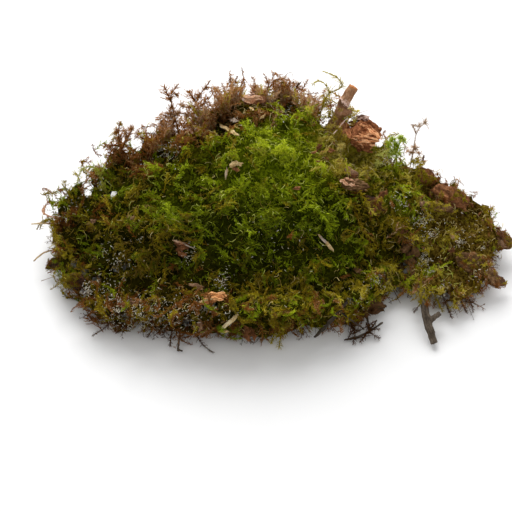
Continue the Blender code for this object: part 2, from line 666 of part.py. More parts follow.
def main():
    clear_scene()
    scene = bpy.context.scene
    clump = bpy.data.collections.new("moss_clump")
    cutters = bpy.data.collections.new("cutters")
    scene.collection.children.link(clump)
    scene.collection.children.link(cutters)
    paint = {name: make_material(name) for name in COLOURS}

    mat = build_mat(paint["moss"], clump)
    moss = BVHTree.FromObject(mat, bpy.context.evaluated_depsgraph_get())

    caught = []
    for name, (thickness, stems) in SPRIGS.items():
        finish = {"sprig_bright_green": "bright_moss", "dry_seed_head": "dry_stem"}.get(name, "old_moss")
        caught.append(build_sprig(name, thickness, stems, paint[finish], clump))
    for name, limbs in TWIGS.items():
        caught.append(build_twig(name, limbs, paint["twig"], clump))
    for name, spec in FLAKES.items():
        flake = build_flake(name, spec, paint["bark"], clump)
        seat(flake, spec[0], moss)
        caught.append(flake)
    for name, (half_width, flatness, points) in SPLINTERS.items():
        finish = "straw" if name.startswith("straw") else "pale_wood"
        splinter = build_splinter(name, half_width, flatness, points, paint[finish], clump)
        if finish == "pale_wood":
            seat(splinter, points[1], moss)
        caught.append(splinter)
    caught.append(build_rotten_wood(paint["rotten_wood"], clump))

    add_floor_cutter(cutters)
    for index, hole in enumerate(TORN_HOLES):
        add_hole_cutter(index, *hole, cutters)
    for piece in caught:
        add_swollen_cutter(piece, cutters)
    cut(mat, cutters)
    centre_on_base(clump, cutters)


main()
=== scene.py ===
# Looks of a torn clump of woodland moss: leafy shoots, old stems, twigs, bark and wood splinters
import math

import bmesh
import bpy
import numpy as np
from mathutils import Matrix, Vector, noise
from mathutils.bvhtree import BVHTree
from mathutils.kdtree import KDTree


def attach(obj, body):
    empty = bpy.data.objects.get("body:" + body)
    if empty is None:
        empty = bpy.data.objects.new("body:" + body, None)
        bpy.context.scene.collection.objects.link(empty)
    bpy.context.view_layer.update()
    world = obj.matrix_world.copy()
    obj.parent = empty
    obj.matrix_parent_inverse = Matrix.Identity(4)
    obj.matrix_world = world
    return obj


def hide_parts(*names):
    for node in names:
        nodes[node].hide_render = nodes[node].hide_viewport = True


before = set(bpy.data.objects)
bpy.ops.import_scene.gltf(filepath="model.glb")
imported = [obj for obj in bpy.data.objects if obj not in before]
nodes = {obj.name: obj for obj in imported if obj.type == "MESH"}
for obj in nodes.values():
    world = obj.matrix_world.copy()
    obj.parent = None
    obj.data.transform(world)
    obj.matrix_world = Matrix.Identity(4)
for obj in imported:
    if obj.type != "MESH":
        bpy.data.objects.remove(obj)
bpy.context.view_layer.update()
mm = 0.001
noise.seed_set(4)  # vector noise takes its offsets from here, and else from the clock
viewerWay = np.array((0, -0.64, 0.77))  # from the clump to the camera
floorGap = 0.05 * mm  # how far every point stays over the floor

# The camera looks down at the middle of the picture, a point on the floor
view = {
    "lens": 135,
    "distance": 743 * mm,
    "elevation": 50,
    "aim": Vector((-6.26, -4.89, 0)) * mm,
    "pixels": 512,
    "sensor": 36,
}


def makeCamera():
    tilt = math.radians(view["elevation"])
    away = Vector((0, -math.cos(tilt), math.sin(tilt)))
    camera = bpy.data.objects.new("camera", bpy.data.cameras.new("camera"))
    bpy.context.scene.collection.objects.link(camera)
    camera.data.lens = view["lens"]
    camera.data.sensor_width = view["sensor"]
    camera.location = view["aim"] + away * view["distance"]
    camera.rotation_euler = (-away).to_track_quat("-Z", "Y").to_euler()
    bpy.context.scene.camera = camera
    bpy.context.view_layer.update()
    return camera


def sightLine(camera, pixel):
    # the way from the camera through a point of the picture
    half = view["pixels"] / 2
    size = view["sensor"] / view["pixels"]
    way = Vector(((pixel[0] - half) * size, (half - pixel[1]) * size, -view["lens"]))
    return (camera.matrix_world.to_3x3() @ way).normalized()


def onPicture(camera, spots):
    # where points in space show on the picture, in pixels
    back = np.array(camera.matrix_world.inverted())
    seen = spots @ back[:3, :3].T + back[:3, 3]
    scale = view["lens"] / view["sensor"] * view["pixels"]
    return view["pixels"] / 2 + seen[:, :2] / -seen[:, 2:] * (scale, -scale)


def spotAt(camera, pixel, height):
    # the point that shows at a pixel and stands so many mm over the floor
    eye = camera.matrix_world.translation
    way = sightLine(camera, pixel)
    return np.array(eye + way * ((height * mm - eye.z) / way.z))


def spotSeen(camera, tree, pixel):
    # the point of a tree's shapes that shows at a pixel, or None
    return tree.ray_cast(camera.matrix_world.translation, sightLine(camera, pixel))[0]


def noiseAt(spots, spacing):
    # smooth noise at each spot, with lumps about so many mm apart
    return np.array([noise.noise(Vector(spot) / (spacing * mm)) for spot in spots])


def driftAt(spots, spacing):
    # the same noise, as three numbers for each spot
    return np.array([noise.noise_vector(Vector(spot) / (spacing * mm)) for spot in spots])


# Places where the floor shows through the clump: a point of the picture and half sizes, in pixels
openings = [
    ((435, 283), (2, 3)), ((381, 274), (4, 3)), ((388, 281), (3, 3)), ((366, 287), (3, 3)),
    ((371, 293), (3, 2)), ((95, 281), (4, 4)), ((84, 292), (4, 4)), ((74, 265), (3, 3)),
    ((125, 265), (3, 2)), ((115, 270), (3, 2)), ((102, 272), (2, 2)), ((114, 194), (3, 3)),
    ((65, 217), (3, 4)), ((87, 191), (5, 8)), ((87, 183), (4, 8)), ((163, 146), (2, 2)),
    ((171, 143), (2, 1.6)), ((165, 157), (2, 2)), ((175, 159), (2, 1.6)), ((141, 163), (3, 3)),
    ((198, 142), (2, 1.6)), ((330, 122), (4, 4)), ((323, 118), (5, 9)), ((396, 158), (5, 4)),
    ((150, 318), (4, 4)), ((186, 322), (4, 5)), ((126, 318), (3, 3)), ((137, 323), (3, 3)),
    ((213, 307), (5, 3)), ((205, 306), (4, 3)), ((104, 312), (3, 2)), ((446, 296), (5, 4)),
    ((350, 300), (4, 3)),
]


# Places that no moss covers, where a splinter or a flake lies open to the eye
bareSpots = [
    ((231, 130), (11, 6)), ((237, 166), (6, 6)), ((227, 174), (3, 6)), ((181, 249), (9, 6)),
    ((212, 298), (14, 6)), ((229, 323), (10, 9)), ((325, 243), (7, 9)), ((352, 186), (11, 5)),
    ((251, 98), (11, 6)), ((366, 138), (17, 13)),
]
raggedEdge = {"spacing": 1.6, "depth": 0.4}  # mm apart, and as a share of the patch's half size


def inPatches(camera, spots, table, spread=1.0):
    # which spots show in the ragged patches of a table
    seen = onPicture(camera, spots)
    limit = spread + noiseAt(spots, raggedEdge["spacing"]) * raggedEdge["depth"]
    found = np.zeros(len(spots), bool)
    for middle, halves in table:
        found |= (((seen - middle) / halves) ** 2).sum(1) < limit ** 2
    return found


def hides(camera, tree, spots, table):
    # which spots lie in these patches of the picture and in front of the shapes of the tree
    eye = camera.matrix_world.translation
    found = inPatches(camera, spots, table)
    for index in np.nonzero(found)[0]:
        spot = Vector(spots[index])
        found[index] = tree.ray_cast(spot, (spot - eye).normalized())[0] is not None
    return found


# Light: a wide soft window high at the back, and a pale room
light = {
    "way": Vector((-0.12, 0.74, 0.68)),
    "distance": 1.0,
    "size": 0.9,
    "power": 11.5,
    "room": 0.62,
}
floorLook = {"half": 2.0, "colour": (0.93, 0.93, 0.93, 1), "roughness": 0.75}


def makeLight():
    lamp = bpy.data.lights.new("window", "AREA")
    lamp.shape = "DISK"
    lamp.size = light["size"]
    lamp.energy = light["power"]
    window = bpy.data.objects.new("window", lamp)
    window.location = light["way"].normalized() * light["distance"]
    window.rotation_euler = light["way"].to_track_quat("Z", "Y").to_euler()
    bpy.context.scene.collection.objects.link(window)
    world = bpy.data.worlds.new("room")
    world.use_nodes = True
    world.node_tree.nodes["Background"].inputs["Strength"].default_value = light["room"]
    world.node_tree.nodes["Background"].inputs["Color"].default_value = (1, 1, 1, 1)
    bpy.context.scene.world = world
    bpy.context.scene.view_settings.view_transform = "Standard"


def makeFloor():
    half = floorLook["half"]
    mesh = bpy.data.meshes.new("floor")
    corners = [(-half, -half, 0), (half, -half, 0), (half, half, 0), (-half, half, 0)]
    mesh.from_pydata(corners, [], [(0, 1, 2, 3)])
    floor = bpy.data.objects.new("floor", mesh)
    floor.location.z = -0.1 * mm
    bpy.context.scene.collection.objects.link(floor)
    paint = Paint("paleFloor")
    shader = paint.add("ShaderNodeBsdfPrincipled", {}, {
        "Base Color": floorLook["colour"], "Roughness": floorLook["roughness"],
    })
    paint.show(shader)
    mesh.materials.append(paint.material)


class Wire:
    # a socket that works in sums: each operator adds its Math node

    def __init__(self, paint, socket):
        self.paint = paint
        self.socket = socket

    def maths(self, operation, first, second):
        return self.paint.add("ShaderNodeMath", {"operation": operation}, {0: first, 1: second})

    def __add__(self, other):
        return self.maths("ADD", self, other)

    __radd__ = __add__

    def __sub__(self, other):
        return self.maths("SUBTRACT", self, other)

    def __rsub__(self, other):
        return self.maths("SUBTRACT", other, self)

    def __mul__(self, other):
        return self.maths("MULTIPLY", self, other)

    __rmul__ = __mul__

    def __pow__(self, other):
        return self.maths("POWER", self, other)

    def other(self, name):
        # another output of the same node
        return Wire(self.paint, self.socket.node.outputs[name])


class Paint:
    # one material, built by adding nodes

    def __init__(self, name):
        self.material = bpy.data.materials.new(name)
        self.material.use_nodes = True
        self.tree = self.material.node_tree
        self.tree.nodes.clear()

    def add(self, kind, settings, inputs, output=0):
        node = self.tree.nodes.new(kind)
        for name, value in settings.items():
            if name == "stops":
                self.fillRamp(node.color_ramp, value)
            else:
                setattr(node, name, value)
        for key, value in inputs.items():
            if isinstance(value, Wire):
                self.tree.links.new(value.socket, node.inputs[key])
            else:
                node.inputs[key].default_value = value
        return Wire(self, node.outputs[output])

    def fillRamp(self, ramp, stops):
        while len(ramp.elements) < len(stops):
            ramp.elements.new(0.5)
        for element, (position, colour) in zip(ramp.elements, stops):
            element.position = position
            element.color = (*colour, 1)

    def attribute(self, name):
        return self.add("ShaderNodeAttribute", {"attribute_name": name}, {}, "Vector")

    def split(self, vector):
        parts = self.add("ShaderNodeSeparateXYZ", {}, {0: vector})
        return parts, parts.other("Y"), parts.other("Z")

    def stretch(self, vector, scale):
        return self.add("ShaderNodeVectorMath", {"operation": "MULTIPLY"}, {0: vector, 1: scale})

    def noise(self, place, scale, detail=3.0, roughness=0.5):
        return self.add("ShaderNodeTexNoise", {}, {
            "Vector": place, "Scale": scale, "Detail": detail, "Roughness": roughness,
        })

    def ramp(self, amount, stops):
        return self.add("ShaderNodeValToRGB", {"stops": stops}, {0: amount})

    def window(self, amount, low, high):
        # 0 below low, 1 above high
        return self.add("ShaderNodeMapRange", {"clamp": True}, {0: amount, 1: low, 2: high})

    def mix(self, amount, first, second):
        return self.add("ShaderNodeMix", {"data_type": "RGBA"}, {0: amount, 6: first, 7: second}, 2)

    def bump(self, height, distance, strength=1.0):
        return self.add("ShaderNodeBump", {}, {
            "Height": height, "Distance": distance * mm, "Strength": strength,
        })

    def skin(self, colour, roughness, gloss, normal):
        return self.add("ShaderNodeBsdfPrincipled", {}, {
            "Base Color": colour, "Roughness": roughness, "Specular IOR Level": gloss, "Normal": normal,
        })

    def show(self, shader):
        out = self.tree.nodes.new("ShaderNodeOutputMaterial")
        self.tree.links.new(shader.socket, out.inputs["Surface"])


# Leaf colours: a ramp from the shaded to the lit end, the tip's colour and the colour of old leaves
leafLooks = {
    "green": {
        "slot": "moss",
        "ramp": [(0.0, (0.018, 0.036, 0.001)), (0.3, (0.10, 0.17, 0.002)),
                 (0.6, (0.36, 0.52, 0.004)), (1.0, (0.80, 0.92, 0.04))],
        "tip": (0.88, 0.92, 0.24, 1),
        "old": (0.14, 0.11, 0.003, 1),
        "glow": (0.38, 0.44, 0.004, 1),
    },
    "olive": {
        "slot": "moss",
        "ramp": [(0.0, (0.040, 0.034, 0.001)), (0.35, (0.20, 0.17, 0.003)),
                 (0.65, (0.58, 0.49, 0.008)), (1.0, (0.92, 0.82, 0.16))],
        "tip": (0.92, 0.84, 0.34, 1),
        "old": (0.16, 0.075, 0.004, 1),
        "glow": (0.52, 0.40, 0.01, 1),
    },
    "old": {
        "slot": "old_moss",
        "ramp": [(0.0, (0.040, 0.013, 0.001)), (0.4, (0.24, 0.088, 0.012)),
                 (0.7, (0.54, 0.27, 0.085)), (1.0, (0.88, 0.66, 0.40))],
        "tip": (0.88, 0.66, 0.42, 1),
        "old": (0.085, 0.028, 0.004, 1),
        "glow": (0.56, 0.20, 0.02, 1),
    },
    "bright": {
        "slot": "bright_moss",
        "ramp": [(0.0, (0.03, 0.06, 0.001)), (0.4, (0.17, 0.27, 0.004)), (0.7, (0.50, 0.66, 0.02)),
                 (1.0, (0.86, 0.96, 0.22))],
        "tip": (0.80, 0.9, 0.2, 1),
        "old": (0.2, 0.2, 0.01, 1),
        "glow": (0.5, 0.62, 0.01, 1),
    },
    "paleGreen": {
        "slot": "moss",
        "ramp": [(0.0, (0.08, 0.11, 0.002)), (0.5, (0.36, 0.42, 0.02)), (1.0, (0.88, 0.90, 0.24))],
        "tip": (0.88, 0.90, 0.24, 1), "old": (0.2, 0.14, 0.03, 1), "glow": (0.5, 0.5, 0.05, 1),
    },
    "beige": {
        "slot": "dry_stem",
        "ramp": [(0.0, (0.12, 0.065, 0.012)), (0.5, (0.40, 0.29, 0.06)), (1.0, (0.88, 0.74, 0.34))],
        "tip": (0.8, 0.68, 0.32, 1), "old": (0.2, 0.11, 0.03, 1), "glow": (0.5, 0.36, 0.08, 1),
    },
    "ochre": {
        "slot": "moss",
        "ramp": [(0.0, (0.12, 0.08, 0.002)), (0.5, (0.46, 0.36, 0.012)), (1.0, (0.92, 0.80, 0.26))],
        "tip": (0.94, 0.86, 0.40, 1), "old": (0.22, 0.10, 0.01, 1), "glow": (0.6, 0.44, 0.02, 1),
    },
    "root": {
        "slot": "old_moss",
        "ramp": [(0.0, (0.016, 0.007, 0.002)), (0.5, (0.075, 0.032, 0.010)), (1.0, (0.26, 0.13, 0.055))],
        "tip": (0.26, 0.12, 0.04, 1), "old": (0.03, 0.012, 0.004, 1), "glow": (0.2, 0.08, 0.02, 1),
    },
    # near-white, for the flecks: painted specks of light
    "pale": {
        "slot": "dry_stem",
        "ramp": [(0.0, (0.42, 0.36, 0.24)), (0.5, (0.78, 0.74, 0.60)), (1.0, (0.98, 0.97, 0.92))],
        "tip": (0.95, 0.93, 0.86, 1), "old": (0.6, 0.5, 0.36, 1), "glow": (0.9, 0.85, 0.7, 1),
    },
    "dry": {
        "slot": "dry_stem",
        "ramp": [(0.0, (0.07, 0.030, 0.012)), (0.4, (0.28, 0.15, 0.08)), (0.7, (0.52, 0.34, 0.21)),
                 (1.0, (0.76, 0.6, 0.44))],
        "tip": (0.62, 0.50, 0.38, 1),
        "old": (0.20, 0.10, 0.04, 1),
        "glow": (0.45, 0.28, 0.12, 1),
    },
}


def leafPaint(name, look):
    paint = Paint(name)
    tint, along, age = paint.split(paint.attribute("leafMarks"))
    place = paint.add("ShaderNodeTexCoord", {}, {}, "Object")
    mottle = paint.noise(place, 700, 3, 0.6)
    colour = paint.ramp(tint + (mottle - 0.5) * 0.45, look["ramp"])
    colour = paint.mix(along ** 5.0 * 0.45, colour, look["tip"])
    colour = paint.mix(age * 0.85, colour, look["old"])
    veins = paint.noise(place, 5200, 2)
    shader = paint.skin(colour, 0.4 + mottle * 0.3, 0.06, paint.bump(veins, 0.05, 0.6))
    glow = paint.add("ShaderNodeBsdfTranslucent", {}, {"Color": look["glow"]})
    paint.show(paint.add("ShaderNodeMixShader", {}, {0: 0.3, 1: shader, 2: glow}))
    return paint.material


def unit(vectors):
    return vectors / np.maximum(np.linalg.norm(vectors, axis=-1, keepdims=True), 1e-9)


# A set of stems is a dictionary of arrays, one row for each stem: start, bend and end of its curve,
# up (the way its flat side faces), size, tint, age, and which share of a whole shoot it covers
def stemSet(start, bend, end, up, size, tint, age=-1.0, begin=0.0, finish=1.0, **more):
    # a single number holds for every stem; an age below 0 keeps the colour of old leaves off them
    single = {"size": size, "tint": tint, "age": age, "begin": begin, "finish": finish, **more}
    single = {key: np.broadcast_to(value, len(start)) for key, value in single.items()}
    return {"start": start, "bend": bend, "end": end, "up": up, **single}


def takeStems(stems, which):
    return {key: value[which] for key, value in stems.items()}


def joinStems(groups):
    return {key: np.concatenate([group[key] for group in groups]) for key in groups[0]}


def curveAt(stems, who, t):
    start, bend, end = (stems[key][who] for key in ("start", "bend", "end"))
    t = t[:, None]
    spot = start * (1 - t) ** 2 + bend * 2 * t * (1 - t) + end * t ** 2
    way = unit((bend - start) * (1 - t) + (end - bend) * t)
    side = unit(np.cross(way, stems["up"][who]))
    return spot, way, side, np.cross(side, way)


def stemLength(stems):
    control = np.linalg.norm(stems["bend"] - stems["start"], axis=1)
    control += np.linalg.norm(stems["end"] - stems["bend"], axis=1)
    return (control + np.linalg.norm(stems["end"] - stems["start"], axis=1)) / 2


def wholeShare(stems, who, t):
    return stems["begin"][who] + (stems["finish"][who] - stems["begin"][who]) * t


def growLeaves(stems, leaf, rng):
    # folded leaves set in a spiral along each stem
    length = stemLength(stems)
    spacing = leaf["spacing"] * mm * stems["size"]
    most = int(np.ceil((length / spacing).max()))
    along = (np.arange(most) + rng.random((len(length), most)) * 0.5) * (spacing / length)[:, None]
    who, which = np.nonzero(along < 0.97)
    t = along[who, which]
    spot, way, side, up = curveAt(stems, who, t)
    share = wholeShare(stems, who, t)[:, None]
    count = len(who)
    turn = (which * 2.4 + who * 1.7 + rng.normal(0, 0.25, count))[:, None]
    out = unit(side * np.cos(turn) + up * np.sin(turn) * leaf["flat"])
    lean = leaf["open"] * (1 - 0.6 * share ** 3) + rng.normal(0, 0.16, (count, 1))
    blade = way * np.cos(lean) + out * np.sin(lean)
    face = out * np.cos(lean) - way * np.sin(lean)
    across = np.cross(blade, face)
    size = leaf["length"] * mm * stems["size"][who][:, None] * (1 - 0.4 * share ** 2)
    size = size * rng.uniform(0.75, 1.2, (count, 1))
    width = size * leaf["width"] * 0.5
    base = spot + out * 0.08 * mm
    middle = base + blade * size * 0.42 - face * size * leaf["fold"]
    tip = base + blade * size + (way * 0.5 - up) * size * leaf["curl"]
    points = np.stack([base, middle + across * width, tip, middle - across * width], axis=1)
    marks = np.empty((count, 4, 3), np.float32)
    marks[:, :, 0] = (stems["tint"][who] + rng.normal(0, 0.18, count))[:, None]
    marks[:, :, 1] = (0, 0.45, 1, 0.45)
    marks[:, :, 2] = np.clip(stems["age"][who] * (1.25 - share[:, 0]), 0, 1)[:, None]
    return points.reshape(-1, 3), marks.reshape(-1, 3), np.arange(count * 4).reshape(-1, 4)


def growTubes(stems, tube):
    # the bare stems under the leaves: a strip for two sides, a tapering tube for more
    count, rings, sides = len(stems["size"]), tube["rings"], tube["sides"]
    who = np.repeat(np.arange(count), rings)
    t = np.tile(np.linspace(0, 1, rings), count)
    spot, way, side, up = curveAt(stems, who, t)
    share = wholeShare(stems, who, t)
    radius = tube["radius"] * mm * stems["size"][who] * (1 - 0.65 * share)
    turns = np.arange(sides) * math.tau / sides
    ring = side[:, None] * np.cos(turns)[:, None] + up[:, None] * np.sin(turns)[:, None]
    points = spot[:, None] + ring * radius[:, None, None]
    marks = np.empty((len(who), sides, 3), np.float32)
    marks[:, :, 0] = stems["tint"][who][:, None]
    marks[:, :, 1] = 0.2
    marks[:, :, 2] = np.clip(0.55 + stems["age"][who] - 0.5 * share, 0, 1)[:, None]
    corner = np.arange(sides if sides > 2 else 1)
    near = (np.arange(count)[:, None, None] * rings + np.arange(rings - 1)[:, None]) * sides + corner
    after = near - corner + (corner + 1) % sides
    quads = np.stack([near, after, after + sides, near + sides], axis=-1).reshape(-1, 4)
    return points.reshape(-1, 3), marks.reshape(-1, 3), quads


def growBranches(stems, branch, rng):
    # short side branches to the left and right in turn, all in the plane of the shoot
    count, each = len(stems["size"]), branch["count"]
    step = (branch["last"] - branch["first"]) / each
    t = branch["first"] + step * (np.arange(each) + rng.random((count, each)) * 0.7)
    who = np.repeat(np.arange(count), each)
    flip = np.where((np.arange(count * each) + who) % 2, 1.0, -1.0)[:, None]
    keep = rng.random(count * each) < branch["share"]
    who, t, flip = who[keep], t.ravel()[keep], flip[keep]
    spot, way, side, up = curveAt(stems, who, t)
    share = wholeShare(stems, who, t)[:, None]
    size = stems["size"][who][:, None]
    long = branch["length"] * mm * size * (1 - 0.75 * share ** 1.5) * rng.uniform(0.6, 1.25, (len(who), 1))
    spread = branch["spread"] + rng.normal(0, 0.2, (len(who), 1))
    first = way * np.cos(spread) + side * flip * np.sin(spread) + up * rng.normal(0, 0.3, (len(who), 1))
    bend = spot + unit(first) * long * 0.55
    second = unit(first) + way * 0.55 + up * rng.normal(-0.1, 0.35, (len(who), 1))
    end = bend + unit(second) * long * 0.5
    tint = stems["tint"][who] + rng.normal(0, 0.05, len(who))
    age = stems["age"][who] * (1 - 0.5 * share[:, 0])
    return stemSet(spot, bend, end, up, stems["size"][who], tint, age, begin=0.25)


def keepNumbers(mesh, name, rows):
    # three numbers for each point of a mesh, which its material reads by name
    attribute = mesh.attributes.new(name, "FLOAT_VECTOR", "POINT")
    attribute.data.foreach_set("vector", np.array(rows, np.float32).ravel())


def leafyMesh(name, parts):
    # one mesh from several sets of points, marks and four-cornered bits, two triangles a bit
    offset, quads = 0, []
    for points, _, some in parts:
        quads.append(some + offset)
        offset += len(points)
    points = np.concatenate([part[0] for part in parts]).astype(np.float32)
    marks = np.concatenate([part[1] for part in parts])
    quads = np.concatenate(quads)
    points[:, 2] = np.maximum(points[:, 2], floorGap)
    corners = quads[:, [0, 1, 2, 0, 2, 3]].ravel()
    mesh = bpy.data.meshes.new(name)
    mesh.vertices.add(len(points))
    mesh.vertices.foreach_set("co", points.ravel())
    mesh.loops.add(len(corners))
    mesh.loops.foreach_set("vertex_index", corners.astype(np.int32))
    mesh.polygons.add(len(corners) // 3)
    mesh.polygons.foreach_set("loop_start", np.arange(0, len(corners), 3, dtype=np.int32))
    mesh.update()
    keepNumbers(mesh, "leafMarks", marks)
    layBakeMap(mesh, len(quads))
    return mesh


def layBakeMap(mesh, bits):
    # every leaf has a small square of its own on the map
    rows = math.ceil(math.sqrt(bits))
    number = np.arange(bits)
    origin = np.stack([number % rows, number // rows], axis=1)[:, None]
    square = np.array([(0.12, 0.12), (0.88, 0.12), (0.88, 0.88), (0.12, 0.12), (0.88, 0.88), (0.12, 0.88)])
    places = ((origin + square) / rows).astype(np.float32)
    mesh.uv_layers.new(name="OFBake").uv.foreach_set("vector", places.ravel())


def showPiece(name, mesh, material, stoodFor=()):
    piece = bpy.data.objects.new(name, mesh)
    bpy.context.scene.collection.objects.link(piece)
    mesh.materials.clear()
    mesh.materials.append(material)
    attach(piece, "root")
    if stoodFor:
        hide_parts(*stoodFor)
    return piece


def showLeafy(name, parts, kind):
    # leaves and stems as one piece with a material of its own
    mesh = leafyMesh(name, parts)
    showPiece(name, mesh, leafPaint(name, leafLooks[kind]))
    return len(mesh.polygons)


def meshNumbers(mesh):
    # vertices, vertex normals, triangles and triangle areas as arrays
    mesh.calc_loop_triangles()
    points = np.empty(len(mesh.vertices) * 3)
    mesh.vertices.foreach_get("co", points)
    normals = np.empty(len(mesh.vertices) * 3)
    mesh.vertex_normals.foreach_get("vector", normals)
    corners = np.empty(len(mesh.loop_triangles) * 3, np.int32)
    mesh.loop_triangles.foreach_get("vertices", corners)
    areas = np.empty(len(mesh.loop_triangles))
    mesh.loop_triangles.foreach_get("area", areas)
    return points.reshape(-1, 3), normals.reshape(-1, 3), corners.reshape(-1, 3), areas


def treeOf(names):
    # a search tree over the shapes of these nodes
    points, faces, offset = [], [], 0
    for name in names:
        some, _, corners, _ = meshNumbers(nodes[name].data)
        points.extend(map(Vector, some))
        faces.extend((corners + offset).tolist())
        offset += len(some)
    return BVHTree.FromPolygons(points, faces)


def remeshed(mesh, voxel):
    # a copy of a mesh as one fine even skin
    obj = bpy.data.objects.new("fine", mesh.copy())
    bpy.context.scene.collection.objects.link(obj)
    modifier = obj.modifiers.new("fine", "REMESH")
    modifier.mode = "VOXEL"
    modifier.voxel_size = voxel * mm
    bpy.context.view_layer.update()
    fine = bpy.data.meshes.new_from_object(obj.evaluated_get(bpy.context.evaluated_depsgraph_get()))
    bpy.data.objects.remove(obj)
    return fine


# The dark tangle of dead stems inside, which the live shoots grow from
thatch = {
    "voxel": 1.6,
    "depth": (5.0, 11.0),  # how far it stays inside the clump's outline, at thick and at thin places
    "thinShare": (0.3, 0.5),  # the most of the thickness that it gives up there on each side
    "thin": 17.0,  # mm of thickness under which a place counts as thin
    "rimSpacing": 6,
    "lumps": 1.0,
    "lumpSpacing": 3.2,
    "ramp": [(0.0, (0.006, 0.004, 0.001)), (0.5, (0.028, 0.016, 0.002)), (1.0, (0.10, 0.058, 0.012))],
    "greenRamp": [(0.0, (0.003, 0.006, 0.0005)), (0.45, (0.018, 0.027, 0.001)), (0.7, (0.08, 0.11, 0.002)),
                  (1.0, (0.28, 0.36, 0.01))],
    "oliveRamp": [(0.0, (0.006, 0.005, 0.001)), (0.45, (0.028, 0.023, 0.001)), (0.7, (0.12, 0.10, 0.003)),
                  (1.0, (0.38, 0.32, 0.03))],
    "lobeEdge": (48.0, 62.0),  # mm along between which the bare mat of the lobe begins
    "lobeShare": 0.16,
    "thinned": 1.25,  # the size of the thin place around each opening, as a share of the opening's
    "opened": 0.8,  # and of the hole in it
    "lobeRamp": [(0.0, (0.006, 0.003, 0.001)), (0.35, (0.034, 0.019, 0.002)), (0.6, (0.16, 0.105, 0.014)),
                 (0.8, (0.34, 0.25, 0.05)), (1.0, (0.66, 0.54, 0.22))],
}


def thatchPaint():
    paint = Paint("thatch")
    place = paint.add("ShaderNodeTexCoord", {}, {}, "Object")
    stems = paint.noise(place, 900, 6, 0.7)
    patches = paint.noise(place, 160, 2)
    green, olive, light = paint.split(paint.attribute("mossMarks"))
    # light is the patches' lightness, with its painted light and shade
    tone = (stems - 0.5) * 1.3 + (patches - 0.5) * 0.5 + light * 0.6 + 0.25
    colour = paint.ramp(stems * 0.7 + patches * 0.5 - 0.1, thatch["ramp"])
    colour = paint.mix(olive, colour, paint.ramp(tone, thatch["oliveRamp"]))
    colour = paint.mix(green, colour, paint.ramp(tone, thatch["greenRamp"]))
    low, high = (edge * mm for edge in thatch["lobeEdge"])
    matted = paint.ramp((stems - 0.5) * 1.5 + patches * 0.6 + 0.16, thatch["lobeRamp"])
    colour = paint.mix(paint.window(paint.split(place)[0], low, high), colour, matted)
    paint.show(paint.skin(colour, 0.8 + stems * 0.2, 0.0, paint.bump(stems, 0.6)))
    return paint.material


def openUp(mesh, gone):
    # takes these points out of a mesh
    shape = bmesh.new()
    shape.from_mesh(mesh)
    bmesh.ops.delete(shape, geom=[vert for vert, out in zip(shape.verts, gone) if out], context="VERTS")
    shape.to_mesh(mesh)
    shape.free()


def makeThatch(camera, mossTree, found):
    mesh = remeshed(nodes["moss_mat"].data, thatch["voxel"])
    points, normals, _, _ = meshNumbers(mesh)
    opened = inPatches(camera, points, openings, thatch["thinned"])
    (deep, deeper), (share, more) = thatch["depth"], thatch["thinShare"]
    uneven = noiseAt(points, thatch["rimSpacing"])
    for index, (point, normal) in enumerate(zip(points, normals)):
        inward = -Vector(normal)
        start = Vector(point) + inward * 0.2 * mm
        thick = mossTree.ray_cast(start, inward)[3] or 0.0
        rim = 1.45 - thick / (thatch["thin"] * mm) + uneven[index] * 0.5
        rim = min(1.0, max(0.0, rim))
        if opened[index]:
            depth = thick * 0.5
        elif normal[2] < -0.7 and point[2] < mm and thick > 12 * mm:
            depth = 0.4 * mm
        else:
            depth = min((deep + (deeper - deep) * rim) * mm, thick * (share + (more - share) * rim))
            if point[0] > thatch["lobeEdge"][1] * mm and point[2] > 5 * mm:
                depth = min(depth, thick * thatch["lobeShare"])
        points[index] = Vector(point) + inward * depth
    mesh.vertices.foreach_set("co", points.ravel())
    mesh = remeshed(mesh, thatch["voxel"])
    points, normals, _, _ = meshNumbers(mesh)
    lumps = noiseAt(points, thatch["lumpSpacing"])[:, None]
    points = points + normals * lumps * thatch["lumps"] * mm
    points[:, 2] = np.maximum(points[:, 2], floorGap)
    mesh.vertices.foreach_set("co", points.ravel())
    openUp(mesh, inPatches(camera, points, openings, thatch["opened"]))
    points = meshNumbers(mesh)[0]
    shares, toneAndPaintedLight = mossAt(points, found)
    keepNumbers(mesh, "mossMarks", np.column_stack([shares[:, :2], toneAndPaintedLight]))
    showPiece("thatch", mesh, thatchPaint(), ["moss_mat"])
    print("thatch:", len(mesh.polygons) * 2, "triangles")
